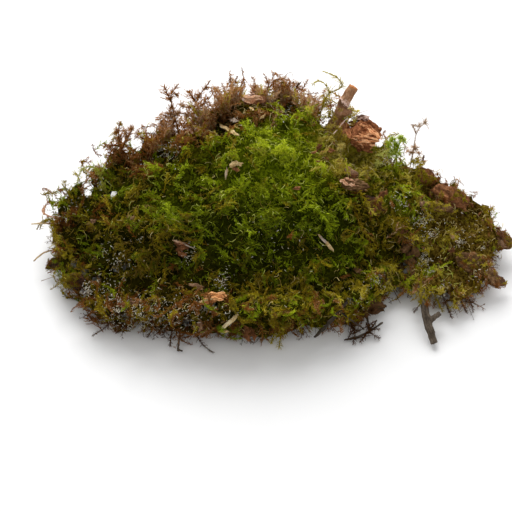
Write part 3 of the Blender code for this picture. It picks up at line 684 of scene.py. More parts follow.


# Where each colour of moss grows: a point of the picture, how far the patch spreads in mm, the shares of
# green, olive and old shoots there, and how light they are from 0 to 1. How light is partly the moss's own
# tone and partly painted light and shade: lighter on the crown that faces the lamp, darker in the hollows,
# low at the front and on the left
patches = [
    ((287, 147), 7, (1.0, 0.1, 0.0), 1.05), ((262, 160), 8, (1.0, 0.3, 0.0), 0.88),
    ((240, 130), 7, (0.8, 0.3, 0.1), 0.5), ((300, 122), 6, (0.9, 0.3, 0.1), 0.6),
    ((270, 190), 9, (0.9, 0.3, 0.0), 0.72), ((310, 185), 8, (0.9, 0.3, 0.0), 0.55),
    ((225, 165), 8, (0.7, 0.4, 0.0), 0.5), ((322, 215), 9, (1.0, 0.2, 0.0), 0.42),
    ((250, 225), 10, (0.8, 0.3, 0.05), 0.13), ((290, 245), 10, (0.7, 0.4, 0.05), 0.15),
    ((215, 245), 9, (0.8, 0.3, 0.05), 0.08), ((190, 195), 9, (0.7, 0.4, 0.1), 0.45),
    ((330, 160), 7, (0.15, 1.0, 0.1), 1.15), ((355, 165), 5, (0.1, 1.0, 0.15), 1.15),
    ((340, 190), 5, (0.4, 0.6, 0.2), 0.5), ((365, 235), 8, (0.4, 0.6, 0.3), 0.3),
    ((395, 235), 7, (0.2, 0.8, 0.4), 0.55), ((385, 215), 5, (0.3, 0.6, 0.3), 0.5),
    ((165, 165), 9, (0.5, 0.6, 0.15), 0.42), ((140, 185), 8, (0.6, 0.5, 0.05), 0.4),
    ((185, 215), 8, (0.6, 0.5, 0.05), 0.28), ((100, 200), 8, (0.4, 0.6, 0.25), 0.22),
    ((115, 225), 8, (0.4, 0.7, 0.1), 0.26), ((85, 245), 8, (0.4, 0.6, 0.1), 0.2),
    ((60, 235), 6, (0.25, 0.6, 0.3), 0.24), ((60, 262), 5, (0.25, 0.5, 0.25), 0.2),
    ((120, 265), 9, (0.4, 0.5, 0.1), 0.05), ((155, 245), 8, (0.4, 0.6, 0.1), 0.18),
    ((85, 285), 7, (0.15, 0.5, 0.4), 0.14), ((115, 310), 7, (0.1, 0.5, 0.55), 0.2),
    ((160, 310), 8, (0.1, 0.45, 0.6), 0.24), ((200, 320), 7, (0.05, 0.3, 0.9), 0.45),
    ((180, 280), 8, (0.3, 0.5, 0.3), 0.2), ((230, 290), 8, (0.4, 0.5, 0.2), 0.22),
    ((270, 290), 8, (0.5, 0.6, 0.1), 0.45), ((300, 280), 8, (0.5, 0.6, 0.1), 0.5),
    ((275, 325), 7, (0.2, 0.7, 0.3), 0.4), ((320, 310), 7, (0.3, 0.6, 0.3), 0.4),
    ((350, 285), 8, (0.4, 0.6, 0.2), 0.5), ((350, 320), 6, (0.1, 0.6, 0.5), 0.4),
    ((152, 146), 7, (0.1, 0.3, 0.8), 0.4), ((182, 132), 7, (0.05, 0.25, 0.9), 0.5),
    ((205, 112), 7, (0.05, 0.25, 0.9), 0.5), ((235, 97), 7, (0.05, 0.25, 1.0), 0.55),
    ((270, 100), 7, (0.0, 0.2, 1.0), 0.6), ((300, 98), 7, (0.1, 0.4, 0.8), 0.55),
    ((322, 112), 5, (0.2, 0.8, 0.3), 0.85), ((200, 140), 7, (0.3, 0.5, 0.4), 0.35),
    ((360, 190), 5, (0.1, 0.4, 0.7), 0.3), ((378, 170), 6, (0.15, 0.8, 0.25), 0.75),
    ((395, 172), 6, (0.4, 0.7, 0.1), 0.75), ((406, 190), 6, (1.0, 0.2, 0.0), 0.85),
    ((430, 180), 6, (0.1, 0.5, 0.6), 0.45), ((460, 195), 7, (0.05, 0.4, 0.7), 0.42),
    ((445, 205), 5, (0.2, 0.8, 0.2), 0.7), ((475, 220), 7, (0.05, 0.7, 0.5), 0.62),
    ((495, 240), 6, (0.05, 0.4, 0.6), 0.4), ((455, 225), 6, (0.1, 0.8, 0.2), 0.68),
    ((420, 225), 5, (0.6, 0.5, 0.1), 0.5), ((418, 255), 6, (0.3, 0.7, 0.2), 0.65),
    ((448, 268), 5, (0.9, 0.3, 0.0), 0.7), ((475, 262), 7, (0.05, 0.5, 0.6), 0.5),
    ((484, 276), 5, (0.05, 0.4, 0.6), 0.5), ((400, 280), 7, (0.4, 0.7, 0.1), 0.68),
    ((440, 290), 6, (0.2, 0.6, 0.3), 0.6), ((385, 255), 6, (0.3, 0.6, 0.3), 0.26),
    ((168, 152), 5, (0.05, 0.2, 0.9), 0.3), ((335, 138), 6, (0.05, 1.0, 0.1), 1.15),
    ((130, 170), 5, (0.1, 0.3, 0.8), 0.25), ((120, 190), 5, (0.9, 0.3, 0.1), 0.3),
    ((175, 205), 5, (1.0, 0.2, 0.0), 0.5), ((345, 255), 6, (0.9, 0.3, 0.0), 0.3),
    # the first patch on this row is painted shade: near-black moss in the deep shadow under the centre bark
    # flake
    ((352, 200), 3, (0.3, 0.5, 0.3), 0.02), ((377, 207), 3, (0.1, 0.4, 0.7), 0.15),
]
kinds = ("green", "olive", "old")


def readPatches(camera, mossTree):
    # the patches' middles on the moss, with their spread, shares and lightness
    found = []
    for pixel, spread, shares, toneAndPaintedLight in patches:
        spot = spotSeen(camera, mossTree, pixel)
        if spot:
            found.append((*spot, spread * mm, *shares, toneAndPaintedLight))
        else:
            print("no moss at", pixel)
    return np.array(found)


# How the kinds and tints of the shoots vary beside the patches
mossMix = {
    "drift": (0.6, 0.5, 0.4),  # how far the shares of green, olive and old wander
    "driftSpacing": 6,  # over how many mm they do
    "away": 0.8,  # how many more old shoots there are where the clump faces away from the viewer
    "low": 0.6,  # and under so many mm over the floor
    "lowHeight": 9,
    "tintDrift": 0.32,
    "relief": 0.10,  # painted light and shade: how much lighter a spot is for each mm that it stands over those around it, and darker for each mm that it sinks under them
    "reliefReach": 6,  # mm
    "scatter": 0.09,
}


def neighbours(spots):
    # a search tree over spots
    tree = KDTree(len(spots))
    for index, spot in enumerate(spots):
        tree.insert(spot, index)
    tree.balance()
    return tree


def reliefOf(spots):
    # how many mm each spot stands over the others within a few mm of it
    tree = neighbours(spots)
    reach = mossMix["reliefReach"] * mm
    around = [np.mean([near[0].z for near in tree.find_range(spot, reach)]) for spot in spots]
    return np.clip((spots[:, 2] - around) / mm, -3, 3)


def mossAt(spots, found):
    # the shares of each kind of shoot and how light they are at each spot, with the patches' painted light
    # and shade
    apart = ((spots[:, None] - found[None, :, :3]) ** 2).sum(2)
    pull = np.exp(-apart / (2 * found[:, 3] ** 2)) + 1e-5 / (1 + apart / (10 * mm) ** 2)
    pull = pull / pull.sum(1, keepdims=True)
    return pull @ found[:, 4:7], pull @ found[:, 7]


def colourAt(spots, normals, found, rng):
    # the kind of shoot and its tint at each spot; the tint carries the painted light and shade of the
    # patches
    shares, toneAndPaintedLight = mossAt(spots, found)
    away = np.clip(normals[:, 1] * 0.8 - normals[:, 2] * 0.8 + 0.1, 0, 1)
    low = np.clip(1 - spots[:, 2] / (mossMix["lowHeight"] * mm), 0, 1)
    shares[:, 2] += mossMix["away"] * away + mossMix["low"] * low
    drift = driftAt(spots, mossMix["driftSpacing"])
    shares = np.clip((shares + drift * mossMix["drift"]) ** 3, 0.001, None)
    shares = (shares / shares.sum(1, keepdims=True)).cumsum(1)
    kind = (rng.random(len(spots))[:, None] > shares).sum(1).clip(0, 2)
    # the relief term paints light on bumps and shade in hollows, on top of the patches' painted light and
    # shade
    tint = toneAndPaintedLight + drift[:, 0] * mossMix["tintDrift"] + reliefOf(spots) * mossMix["relief"]
    tint = tint + rng.normal(0, mossMix["scatter"], len(spots))
    return kind, np.clip(tint, 0.02, 1.15)


# The live shoots all over the clump
shoot = {
    "tries": 16000,
    "apart": 2.0,  # mm from one tip to the next
    "length": (6.5, 11.0),
    "sunk": 5.0,  # how deep below the outline a shoot starts
    "tip": (-1.6, 1.3),  # how far its end stays under or stands over the outline
    "rise": (0.1, 0.75),  # how steeply it points out, in radians
    "swirl": 13.0,  # mm over which neighbouring shoots change their way
    "scatter": 0.5,
    "size": (0.75, 1.2),
    "clear": {"bark": 0.15, "twig": 0.3, "pale_wood": 0.9, "straw": 0.2, "rotten_wood": 0.1},  # mm kept free
    "buried": ("front_twig", "front_thin_twig", "front_low_twig"),  # these may be grown over
    "lobe": (60.0, 0.46),  # mm along from which the shoots are shorter, and how much
    "lobeApart": 1.4,
    "open": 0.9,  # the size of the place without shoots at each opening, as a share of the opening's
    "across": 0.15,  # the share of the shoots there that stay
    # mm along from which shoots within so many pixels of the upper outline go, and the share of them
    "even": (38.0, 5, 1.0),
}
mossyBark = {
    "names": ("bark_flake_right_back", "bark_flake_ridge", "bark_strip_right", "bark_flake_tip",
              "bark_flake_right_front", "bark_flake_right_low", "bark_flake_low", "dead_leaf_left",
              "dead_leaf_left_low"),
    "tries": 90,
    "length": (1.6, 3.4),
    "spacing": 3.4,  # mm from one mossy place to the next
    "cover": -0.04,  # the lower, the more of the bark is mossy
}
# Leaves: spacing and length in mm, width and fold as shares of the length, how far they open in radians
mainLeaf = {
    "spacing": 0.30, "length": 1.35, "width": 0.34, "open": 0.85, "flat": 0.75, "fold": 0.10, "curl": 0.25,
}
sideLeaf = {
    "spacing": 0.27, "length": 0.9, "width": 0.36, "open": 0.75, "flat": 0.7, "fold": 0.10, "curl": 0.25,
}
mainTube = {"rings": 6, "sides": 3, "radius": 0.17}
sideTube = {"rings": 3, "sides": 2, "radius": 0.12}
sideBranch = {"count": 6, "first": 0.3, "last": 0.95, "share": 0.85, "length": 3.4, "spread": 0.95}
mostTriangles = 190000  # in one piece of shoots
measured = 60  # how many shoots are grown to tell how many triangles each has


def scatterSpots(mesh, tries, rng):
    # random spots on a mesh, evenly over its area, with the smooth normal there
    points, normals, corners, areas = meshNumbers(mesh)
    which = rng.choice(len(areas), tries, p=areas / areas.sum())
    a, b = rng.random((2, tries, 1))
    flip = a + b > 1
    a, b = np.where(flip, 1 - a, a), np.where(flip, 1 - b, b)
    share = (1 - a - b, a, b)
    spots = sum(points[corners[which, i]] * share[i] for i in range(3))
    facing = sum(normals[corners[which, i]] * share[i] for i in range(3))
    return spots, unit(facing)


def thinSpots(spots, apart):
    # keeps spots that are at least so far from each other
    tree = neighbours(spots)
    keep = np.ones(len(spots), bool)
    for index, spot in enumerate(spots):
        if keep[index]:
            for _, near, _ in tree.find_range(spot, apart):
                if near > index:
                    keep[near] = False
    return keep


def thinMoss(spots, rule):
    # the same, with one distance on the body of the clump and another on its lobe
    onLobe = spots[:, 0] > shoot["lobe"][0] * mm
    keep = np.zeros(len(spots), bool)
    keep[~onLobe] = thinSpots(spots[~onLobe], rule["apart"] * mm)
    keep[onLobe] = thinSpots(spots[onLobe], rule["lobeApart"] * mm)
    return keep


def flowAt(spots, normals, rng):
    # the way along the surface in which neighbouring shoots lie
    swirl = driftAt(spots, shoot["swirl"])
    outward = unit(spots * (1, 1.7, 0))
    flow = swirl + outward * 0.25 + rng.normal(0, 1, spots.shape) * shoot["scatter"] * 0.5
    flow -= normals * (flow * normals).sum(1, keepdims=True)
    return unit(flow)


def plantShoots(spots, normals, mossTree, kindsAndTints, rng):
    count = len(spots)
    flow = flowAt(spots, normals, rng)
    thick = np.array([
        mossTree.ray_cast(Vector(spot) - Vector(normal) * 0.2 * mm, -Vector(normal))[3] or 0.0
        for spot, normal in zip(spots, normals)
    ])
    sunk = np.minimum(shoot["sunk"] * mm, thick * 0.45)[:, None]
    edge, less = shoot["lobe"]
    short = np.where(spots[:, :1] > edge * mm, less, 1.0)
    rise = rng.uniform(*shoot["rise"], (count, 1)) * short
    length = rng.uniform(*shoot["length"], (count, 1)) * mm * short
    end = spots + normals * rng.uniform(*shoot["tip"], (count, 1)) * mm * short
    start = spots - normals * sunk - flow * length * 0.7
    bend = start + (normals * np.sin(rise + 0.35) + flow * np.cos(rise + 0.35)) * length * 0.6
    up = unit(normals + rng.normal(0, 0.35, spots.shape))
    kind, tint = kindsAndTints
    size = rng.uniform(*shoot["size"], count) * (0.25 + 0.75 * short[:, 0])
    return stemSet(start, bend, end, up, size, tint, rng.uniform(0.3, 0.8, count), kind=kind)


def pastOutline(camera, mossTree, spots, pixels):
    # which spots show over the clump's upper outline or within so many pixels under it
    seen = onPicture(camera, spots) - (0, pixels)
    return np.array([spotSeen(camera, mossTree, pixel) is None for pixel in seen])


def leafyParts(stems, rng, branch=sideBranch, tube=mainTube, leaf=mainLeaf):
    # the tubes, branches and leaves of a set of shoots
    branches = growBranches(stems, branch, rng)
    return [
        growTubes(stems, tube), growLeaves(stems, leaf, rng),
        growTubes(branches, sideTube), growLeaves(branches, sideLeaf, rng),
    ]


def plantOnBark(found, rng):
    # short shoots that creep over the bark in patches
    picked = [scatterSpots(nodes[name].data, mossyBark["tries"], rng) for name in mossyBark["names"]]
    spots, normals = (np.concatenate([pair[i] for pair in picked]) for i in (0, 1))
    keep = (noiseAt(spots, mossyBark["spacing"]) > mossyBark["cover"]) & (normals @ viewerWay > -0.2)
    spots, normals = spots[keep], normals[keep]
    count = len(spots)
    flow = flowAt(spots, normals, rng)
    length = rng.uniform(*mossyBark["length"], (count, 1)) * mm
    kind, tint = colourAt(spots, normals, found, rng)
    start = spots - flow * length * 0.5 - normals * 0.3 * mm
    bend = spots + normals * rng.uniform(0.3, 1.0, (count, 1)) * mm
    end = spots + flow * length * 0.5 + normals * rng.uniform(0.1, 0.7, (count, 1)) * mm
    size, age = rng.uniform(0.4, 0.6, count), rng.uniform(0.2, 0.6, count)
    return stemSet(start, bend, end, normals, size, tint, age, begin=0.5, kind=np.maximum(kind, 1))


def makeShoots(camera, mossTree, openTree, found):
    rng = np.random.default_rng(5)
    keptOpen = [name for name in caughtPieces if name not in shoot["buried"]]
    caughtTrees = [
        (treeOf([name for name in keptOpen if woodLooks[caughtPieces[name][0]]["slot"] == slot]), clear)
        for slot, clear in shoot["clear"].items()
    ]
    spots, normals = scatterSpots(nodes["moss_mat"].data, shoot["tries"], rng)
    # none under the clump
    keep = (spots[:, 2] > 0.6 * mm) & ~((normals[:, 2] < -0.6) & (spots[:, 2] < 3 * mm))
    spots, normals = spots[keep], normals[keep]
    keep = thinMoss(spots, shoot)
    spots, normals = spots[keep], normals[keep]
    free = np.ones(len(spots), bool)
    for tree, clear in caughtTrees:
        free &= np.array([tree.find_nearest(spot)[3] for spot in spots]) > clear * mm
    spots, normals = spots[free], normals[free]
    stems = plantShoots(spots, normals, mossTree, colourAt(spots, normals, found, rng), rng)
    parts = ("start", "bend", "end")
    blocking = sum(inPatches(camera, stems[key], openings, shoot["open"]) for key in parts) > 0
    blocking &= rng.random(len(spots)) > shoot["across"]
    edge, pixels, bare = shoot["even"]
    past = (spots[:, 0] > edge * mm) & pastOutline(camera, mossTree, stems["end"], pixels)
    blocking |= past & (rng.random(len(spots)) < bare)
    blocking |= sum(hides(camera, openTree, stems[key], bareSpots) for key in parts[1:]) > 0
    stems = takeStems(stems, ~blocking)
    stems = joinStems([stems, plantOnBark(found, rng)])
    print("shoots:", len(spots))
    for number, kind in enumerate(kinds):
        some = takeStems(stems, np.nonzero(stems["kind"] == number)[0])
        some = takeStems(some, np.argsort(some["end"][:, 0]))
        material = leafPaint(kind + "Moss", leafLooks[kind])
        parts = leafyParts(takeStems(some, slice(0, measured)), rng)
        each = sum(len(quads) for _, _, quads in parts) * 2 / measured
        runs = math.ceil(len(some["size"]) * each / mostTriangles)
        for run, which in enumerate(np.array_split(np.arange(len(some["size"])), runs)):
            mesh = leafyMesh(f"{kind}Shoots", leafyParts(takeStems(some, which), rng))
            showPiece(f"{kind}Shoots{run + 1}", mesh, material)
            print(f"{kind} shoots {run + 1}:", len(which), "shoots,", len(mesh.polygons), "triangles")


# Bark, wood, twigs and straws: fine copies of the CAD pieces, with their grain, cracks and torn ends
woodLooks = {
    "pinkBark": {
        "slot": "bark", "fibre": (0.35, 1.6, 1.6), "blotch": 0.45, "streaks": 1.0,
        "ramp": [(0.0, (0.03, 0.012, 0.006)), (0.4, (0.16, 0.075, 0.045)), (0.55, (0.42, 0.27, 0.21)),
                 (0.75, (0.66, 0.52, 0.46)), (1.0, (0.85, 0.76, 0.72))],
        "stain": (0.13, 0.05, 0.022, 1), "stains": 0.8, "rough": 0.62,
    },
    "redBark": {
        "slot": "bark", "fibre": (0.3, 1.3, 1.3), "blotch": 0.5, "streaks": 0.9,
        "ramp": [(0.0, (0.02, 0.007, 0.002)), (0.45, (0.15, 0.055, 0.018)), (0.7, (0.36, 0.15, 0.055)),
                 (1.0, (0.74, 0.46, 0.28))],
        "stain": (0.06, 0.022, 0.005, 1), "stains": 0.7, "rough": 0.8,
    },
    "brownBark": {
        "slot": "bark", "fibre": (0.3, 1.5, 1.5), "blotch": 0.6, "streaks": 1.0,
        "ramp": [(0.0, (0.02, 0.009, 0.003)), (0.4, (0.11, 0.05, 0.018)), (0.65, (0.27, 0.15, 0.065)),
                 (1.0, (0.60, 0.44, 0.28))],
        "stain": (0.09, 0.07, 0.008, 1), "stains": 0.8, "rough": 0.8,
    },
    "orangeBark": {
        "slot": "bark", "fibre": (0.4, 1.5, 1.5), "blotch": 0.7, "streaks": 0.8,
        "ramp": [(0.0, (0.03, 0.01, 0.004)), (0.4, (0.22, 0.085, 0.03)), (0.65, (0.55, 0.25, 0.09)),
                 (1.0, (0.8, 0.56, 0.34))],
        "stain": (0.09, 0.035, 0.014, 1), "stains": 0.9, "rough": 0.7,
    },
    "deadLeaf": {
        "slot": "bark", "fibre": (0.5, 1.1, 1.1), "blotch": 0.5, "streaks": 0.8,
        "ramp": [(0.0, (0.04, 0.018, 0.008)), (0.4, (0.17, 0.085, 0.04)), (0.65, (0.34, 0.20, 0.11)),
                 (1.0, (0.62, 0.46, 0.32))],
        "stain": (0.07, 0.03, 0.012, 1), "stains": 0.7, "rough": 0.6,
    },
    "paleWood": {
        "slot": "pale_wood", "fibre": (0.18, 2.2, 2.2), "blotch": 0.5, "streaks": 1.0,
        "ramp": [(0.0, (0.14, 0.07, 0.020)), (0.35, (0.42, 0.26, 0.095)), (0.6, (0.72, 0.54, 0.27)),
                 (1.0, (0.96, 0.86, 0.58))],
        "stain": (0.34, 0.17, 0.06, 1), "stains": 0.6, "rough": 0.65,
    },
    "orangeWood": {
        "slot": "pale_wood", "fibre": (0.2, 2.0, 2.0), "blotch": 0.5, "streaks": 1.0,
        "ramp": [(0.0, (0.18, 0.05, 0.012)), (0.35, (0.55, 0.22, 0.07)), (0.6, (0.85, 0.46, 0.19)),
                 (1.0, (1.0, 0.84, 0.56))],
        "stain": (0.40, 0.12, 0.03, 1), "stains": 0.5, "rough": 0.7,
    },
    "greyWood": {
        "slot": "pale_wood", "fibre": (0.18, 2.2, 2.2), "blotch": 0.5, "streaks": 1.1,
        "ramp": [(0.0, (0.10, 0.07, 0.05)), (0.4, (0.34, 0.27, 0.21)), (0.65, (0.56, 0.46, 0.37)),
                 (1.0, (0.8, 0.71, 0.6))],
        "stain": (0.2, 0.13, 0.08, 1), "stains": 0.6, "rough": 0.65,
    },
    "pinkFlake": {
        "slot": "pale_wood", "fibre": (0.3, 1.2, 1.2), "blotch": 0.6, "streaks": 0.9,
        "ramp": [(0.0, (0.14, 0.045, 0.016)), (0.4, (0.46, 0.22, 0.11)), (0.65, (0.68, 0.44, 0.28)),
                 (1.0, (0.92, 0.76, 0.6))],
        "stain": (0.30, 0.07, 0.025, 1), "stains": 0.6, "rough": 0.7,
    },
    "straw": {
        "slot": "straw", "fibre": (0.15, 2.0, 2.0), "blotch": 0.35, "streaks": 0.9,
        "ramp": [(0.0, (0.22, 0.11, 0.04)), (0.4, (0.48, 0.32, 0.15)), (0.7, (0.70, 0.54, 0.31)),
                 (1.0, (0.88, 0.76, 0.55))],
        "stain": (0.3, 0.15, 0.06, 1), "stains": 0.5, "rough": 0.5,
    },
    "twigBark": {
        "slot": "twig", "fibre": (0.22, 1.6, 1.6), "blotch": 0.35, "streaks": 0.6,
        "ramp": [(0.0, (0.05, 0.017, 0.005)), (0.35, (0.24, 0.105, 0.04)), (0.6, (0.50, 0.27, 0.145)),
                 (1.0, (0.80, 0.56, 0.40))],
        "stain": (0.18, 0.07, 0.02, 1), "stains": 0.5, "rough": 0.75,
    },
    # dark grey-brown twig bark: partly the twigs' own colour and partly painted shade, for twigs that lie
    # low at the front in the clump's shadow
    "darkTwig": {
        "slot": "twig", "fibre": (0.22, 1.6, 1.6), "blotch": 0.35, "streaks": 1.0,
        "ramp": [(0.0, (0.016, 0.012, 0.008)), (0.35, (0.06, 0.044, 0.03)), (0.6, (0.13, 0.10, 0.072)),
                 (1.0, (0.32, 0.26, 0.2))],
        "stain": (0.04, 0.03, 0.018, 1), "stains": 0.6, "rough": 0.75,
    },
    # pale rose-cream: the chips' own pale colour, lightened further as a painted highlight on edges that
    # face the lamp
    "paleRose": {
        "slot": "bark", "fibre": (0.3, 1.4, 1.4), "blotch": 0.5, "streaks": 0.9,
        "ramp": [(0.0, (0.30, 0.14, 0.09)), (0.4, (0.72, 0.48, 0.37)), (0.7, (0.92, 0.76, 0.66)),
                 (1.0, (1.0, 0.93, 0.86))],
        "stain": (0.40, 0.16, 0.09, 1), "stains": 0.5, "rough": 0.6,
    },
    # bright lamellae of the rotten wood: their own orange, lightened towards cream as a painted highlight on
    # their raised edges
    "brightSlat": {
        "slot": "rotten_wood", "fibre": (0.25, 1.4, 1.4), "blotch": 0.4, "streaks": 1.0,
        "ramp": [(0.0, (0.20, 0.055, 0.016)), (0.35, (0.62, 0.23, 0.085)), (0.6, (0.90, 0.48, 0.23)),
                 (1.0, (1.0, 0.82, 0.58))],
        "stain": (0.22, 0.05, 0.02, 1), "stains": 0.6, "rough": 0.7,
    },
    "rottenWood": {
        "slot": "rotten_wood", "fibre": (0.2, 1.8, 1.8), "blotch": 0.4, "streaks": 1.0,
        "ramp": [(0.0, (0.035, 0.012, 0.004)), (0.35, (0.24, 0.075, 0.026)), (0.6, (0.56, 0.23, 0.09)),
                 (1.0, (0.88, 0.52, 0.29))],
        "stain": (0.12, 0.03, 0.010, 1), "stains": 0.6, "rough": 0.8,
    },
}

# How each node is made finer: its look, how far its fibres stand out in mm, how lumpy it is, how deep its
# cracks are, how frayed its ends, and how much lighter than its look
caughtPieces = {
    "bark_chip_back": ("pinkFlake", 0.25, 0.35, 0.3, 0.5, -0.24),
    "bark_flake_centre": ("brownBark", 0.4, 0.7, 0.6, 1.6, -0.06),
    "bark_flake_low": ("redBark", 0.3, 0.5, 0.4, 0.9, -0.28),
    "dead_leaf_centre": ("deadLeaf", 0.3, 0.5, 0.3, 0.9, 0.04),
    "bark_flake_right_back": ("redBark", 0.3, 0.5, 0.4, 0.8, -0.06),
    "bark_flake_ridge": ("redBark", 0.3, 0.55, 0.45, 1.0, 0.02),
    "bark_strip_right": ("brownBark", 0.3, 0.35, 0.45, 0.8, -0.05),
    "bark_flake_tip": ("brownBark", 0.3, 0.5, 0.4, 0.8, -0.05),
    "bark_flake_right_front": ("brownBark", 0.35, 0.55, 0.5, 0.9, -0.06),
    "bark_flake_right_low": ("deadLeaf", 0.3, 0.45, 0.35, 0.7, -0.16),
    "dead_leaf_front": ("brownBark", 0.45, 0.9, 0.5, 1.6, -0.22),
    "dead_leaf_left": ("brownBark", 0.3, 0.8, 0.4, 1.2, -0.36),
    "dead_leaf_left_low": ("redBark", 0.35, 0.8, 0.4, 1.2, -0.38),
    "splinter_back": ("paleWood", 0.18, 0.12, 0.15, 1.4, 0.3),
    "splinter_centre": ("paleWood", 0.3, 0.2, 0.35, 1.8, 0.06),
    "splinter_front": ("orangeWood", 0.3, 0.25, 0.35, 1.8, -0.16),
    "splinter_front_low": ("paleWood", 0.2, 0.15, 0.3, 0.9, 0.2),
    "splinter_thin": ("paleWood", 0.1, 0.1, 0.1, 0.5, 0.3),
    "curled_flake": ("pinkFlake", 0.3, 0.5, 0.3, 1.0, -0.3),
    "wood_chip_back": ("paleWood", 0.15, 0.2, 0.15, 0.7, 0.05),
    "wood_chip_front": ("deadLeaf", 0.25, 0.4, 0.15, 1.2, -0.02),
    "straw_left": ("straw", 0.08, 0.08, 0.05, 0.4, 0.05),
    "straw_left_husk": ("pinkFlake", 0.3, 0.3, 0.3, 1.5, -0.04),
    "straw_left_low": ("straw", 0.08, 0.08, 0.05, 0.4, -0.1),
    # these twigs' dark look holds painted shade as well as their own bark colour
    "forked_twig": ("darkTwig", 0.2, 0.3, 0.3, 0.5, 0.0),
    "front_twig": ("darkTwig", 0.25, 0.35, 0.3, 0.9, -0.22),
    "front_thin_twig": ("darkTwig", 0.12, 0.16, 0.1, 0.5, -0.18),
    "front_low_twig": ("darkTwig", 0.15, 0.2, 0.1, 0.5, -0.1),
    "left_twiglet": ("darkTwig", 0.08, 0.12, 0.1, 0.3, 0),
    "cut_twig": ("twigBark", 0.18, 0.25, 0.35, 0.0, 0.05),
    "rotten_wood": ("rottenWood", 0.4, 0.5, 0.55, 0.9, -0.06),
}
# Pieces that are a little slimmer than their node, as a share of its width and thickness
slimmed = {"cut_twig": 0.86, "splinter_centre": 0.62, "front_twig": 0.72, "straw_left_husk": 0.75,
           "curled_flake": 0.8, "splinter_front_low": 0.78, "front_thin_twig": 0.7, "splinter_back": 0.8,
           "splinter_thin": 0.55}
# Bands on the cut twig: from and to in mm from its cut end, colour, and how much of it
twigBands = [
    (-40.0, -12.5, (0.20, 0.11, 0.022, 1), 0.5), (-9.4, -7.4, (0.05, 0.016, 0.004, 1), 0.6),
    (-7.5, -6.3, (0.98, 0.70, 0.58, 1), 1.0), (-0.75, 1.0, (0.62, 0.22, 0.06, 1), 0.8),
]
woodVoxel = 0.36
fibreSize = (3.2, 0.55)  # mm along and across
lumpSize = 2.2


def grainAxes(name):
    # the middle of a piece with its long, wide and thin ways, the thin one towards the viewer
    points = meshNumbers(nodes[name].data)[0]
    middle = points.mean(axis=0)
    ways = np.linalg.eigh((points - middle).T @ (points - middle))[1]
    long = ways[:, 2] * np.sign(ways[:, 2] @ (0.5, 0.1, 1.0))
    thin = ways[:, 0] * np.sign(ways[:, 0] @ viewerWay)
    return middle, np.stack([long, np.cross(thin, long), thin])


def fineCopy(name, relief, lumpy, cracks, frayed):
    mesh = remeshed(nodes[name].data, woodVoxel)
    points, normals, _, _ = meshNumbers(mesh)
    middle, axes = grainAxes(name)
    grain = (points - middle) @ axes.T / mm
    grain[:, 1:] *= slimmed.get(name, 1.0)
    points = middle + grain @ axes * mm
    shift = Vector((list(nodes).index(name) * 7.3, 1.7, 4.1))
    length, width = fibreSize
    fibres = np.array([noise.noise(Vector((x / length, y / width, z / width)) + shift) for x, y, z in grain])
    lumps = np.array([noise.noise(Vector(spot) / lumpSize + shift) for spot in grain])
    frays = np.array([noise.noise(Vector((0, y / 0.5, z / 0.5)) + shift) for _, y, z in grain])
    push = fibres * relief + lumps * lumpy - np.clip(1 - np.abs(fibres + 0.1) * 7, 0, 1) * cracks
    ends = grain[:, 0] / np.abs(grain[:, 0]).max()
    fray = frays * frayed * np.abs(ends) ** 3 * np.sign(ends)
    points += (normals * push[:, None] + axes[0] * fray[:, None]) * mm
    points[:, 2] = np.maximum(points[:, 2], floorGap)
    mesh.vertices.foreach_set("co", points.ravel())
    grain[:, 0] -= grain[:, 0].max()
    keepNumbers(mesh, "grain", grain)
    mesh.shade_smooth()
    return mesh


def woodPaint(name, look, light=0.0, bands=()):
    paint = Paint(name)
    grain = paint.attribute("grain")
    fibres = paint.noise(paint.stretch(grain, look["fibre"]), 1.0, 5, 0.65)
    blotches = paint.noise(grain, look["blotch"], 4, 0.6)
    specks = paint.noise(grain, 2.6, 3, 0.7)
    tone = (fibres - 0.5) * look["streaks"] + (blotches - 0.5) * 0.9 + (specks - 0.5) * 0.5 + 0.5 + light
    colour = paint.ramp(tone, look["ramp"])
    stains = paint.window(paint.noise(grain, look["blotch"] * 1.7, 4, 0.7), 0.54, 0.66) * look["stains"]
    colour = paint.mix(stains, colour, look["stain"])
    along = paint.split(grain)[0] + (specks - 0.5) * 3.4 + (blotches - 0.5) * 6.0
    for start, finish, shade, share in bands:
        band = paint.window(along, start - 0.3, start + 0.3)
        band = band * (1 - paint.window(along, finish - 0.3, finish + 0.3))
        colour = paint.mix(band * share * (0.55 + fibres * 0.9), colour, shade)
    roughness = look["rough"] + (fibres - 0.5) * 0.3
    paint.show(paint.skin(colour, roughness, 0.18, paint.bump(fibres + specks * 0.5, 0.35, 0.9)))
    return paint.material


def pieceName(name):
    # bark_flake_low becomes barkFlakeLow
    first, *others = name.split("_")
    return first + "".join(other.capitalize() for other in others)


def makeCaughtPieces():
    total = 0
    for name, (lookName, *shape, lighter) in caughtPieces.items():
        look = woodLooks[lookName]
        mesh = fineCopy(name, *shape)
        bands = twigBands if name == "cut_twig" else ()
        material = woodPaint(pieceName(name) + "Wood", look, lighter, bands)
        showPiece(pieceName(name), mesh, material, [name])
        total += len(mesh.polygons) * 2
    print("bark, wood, twigs and straws:", len(caughtPieces), "pieces,", total, "triangles")


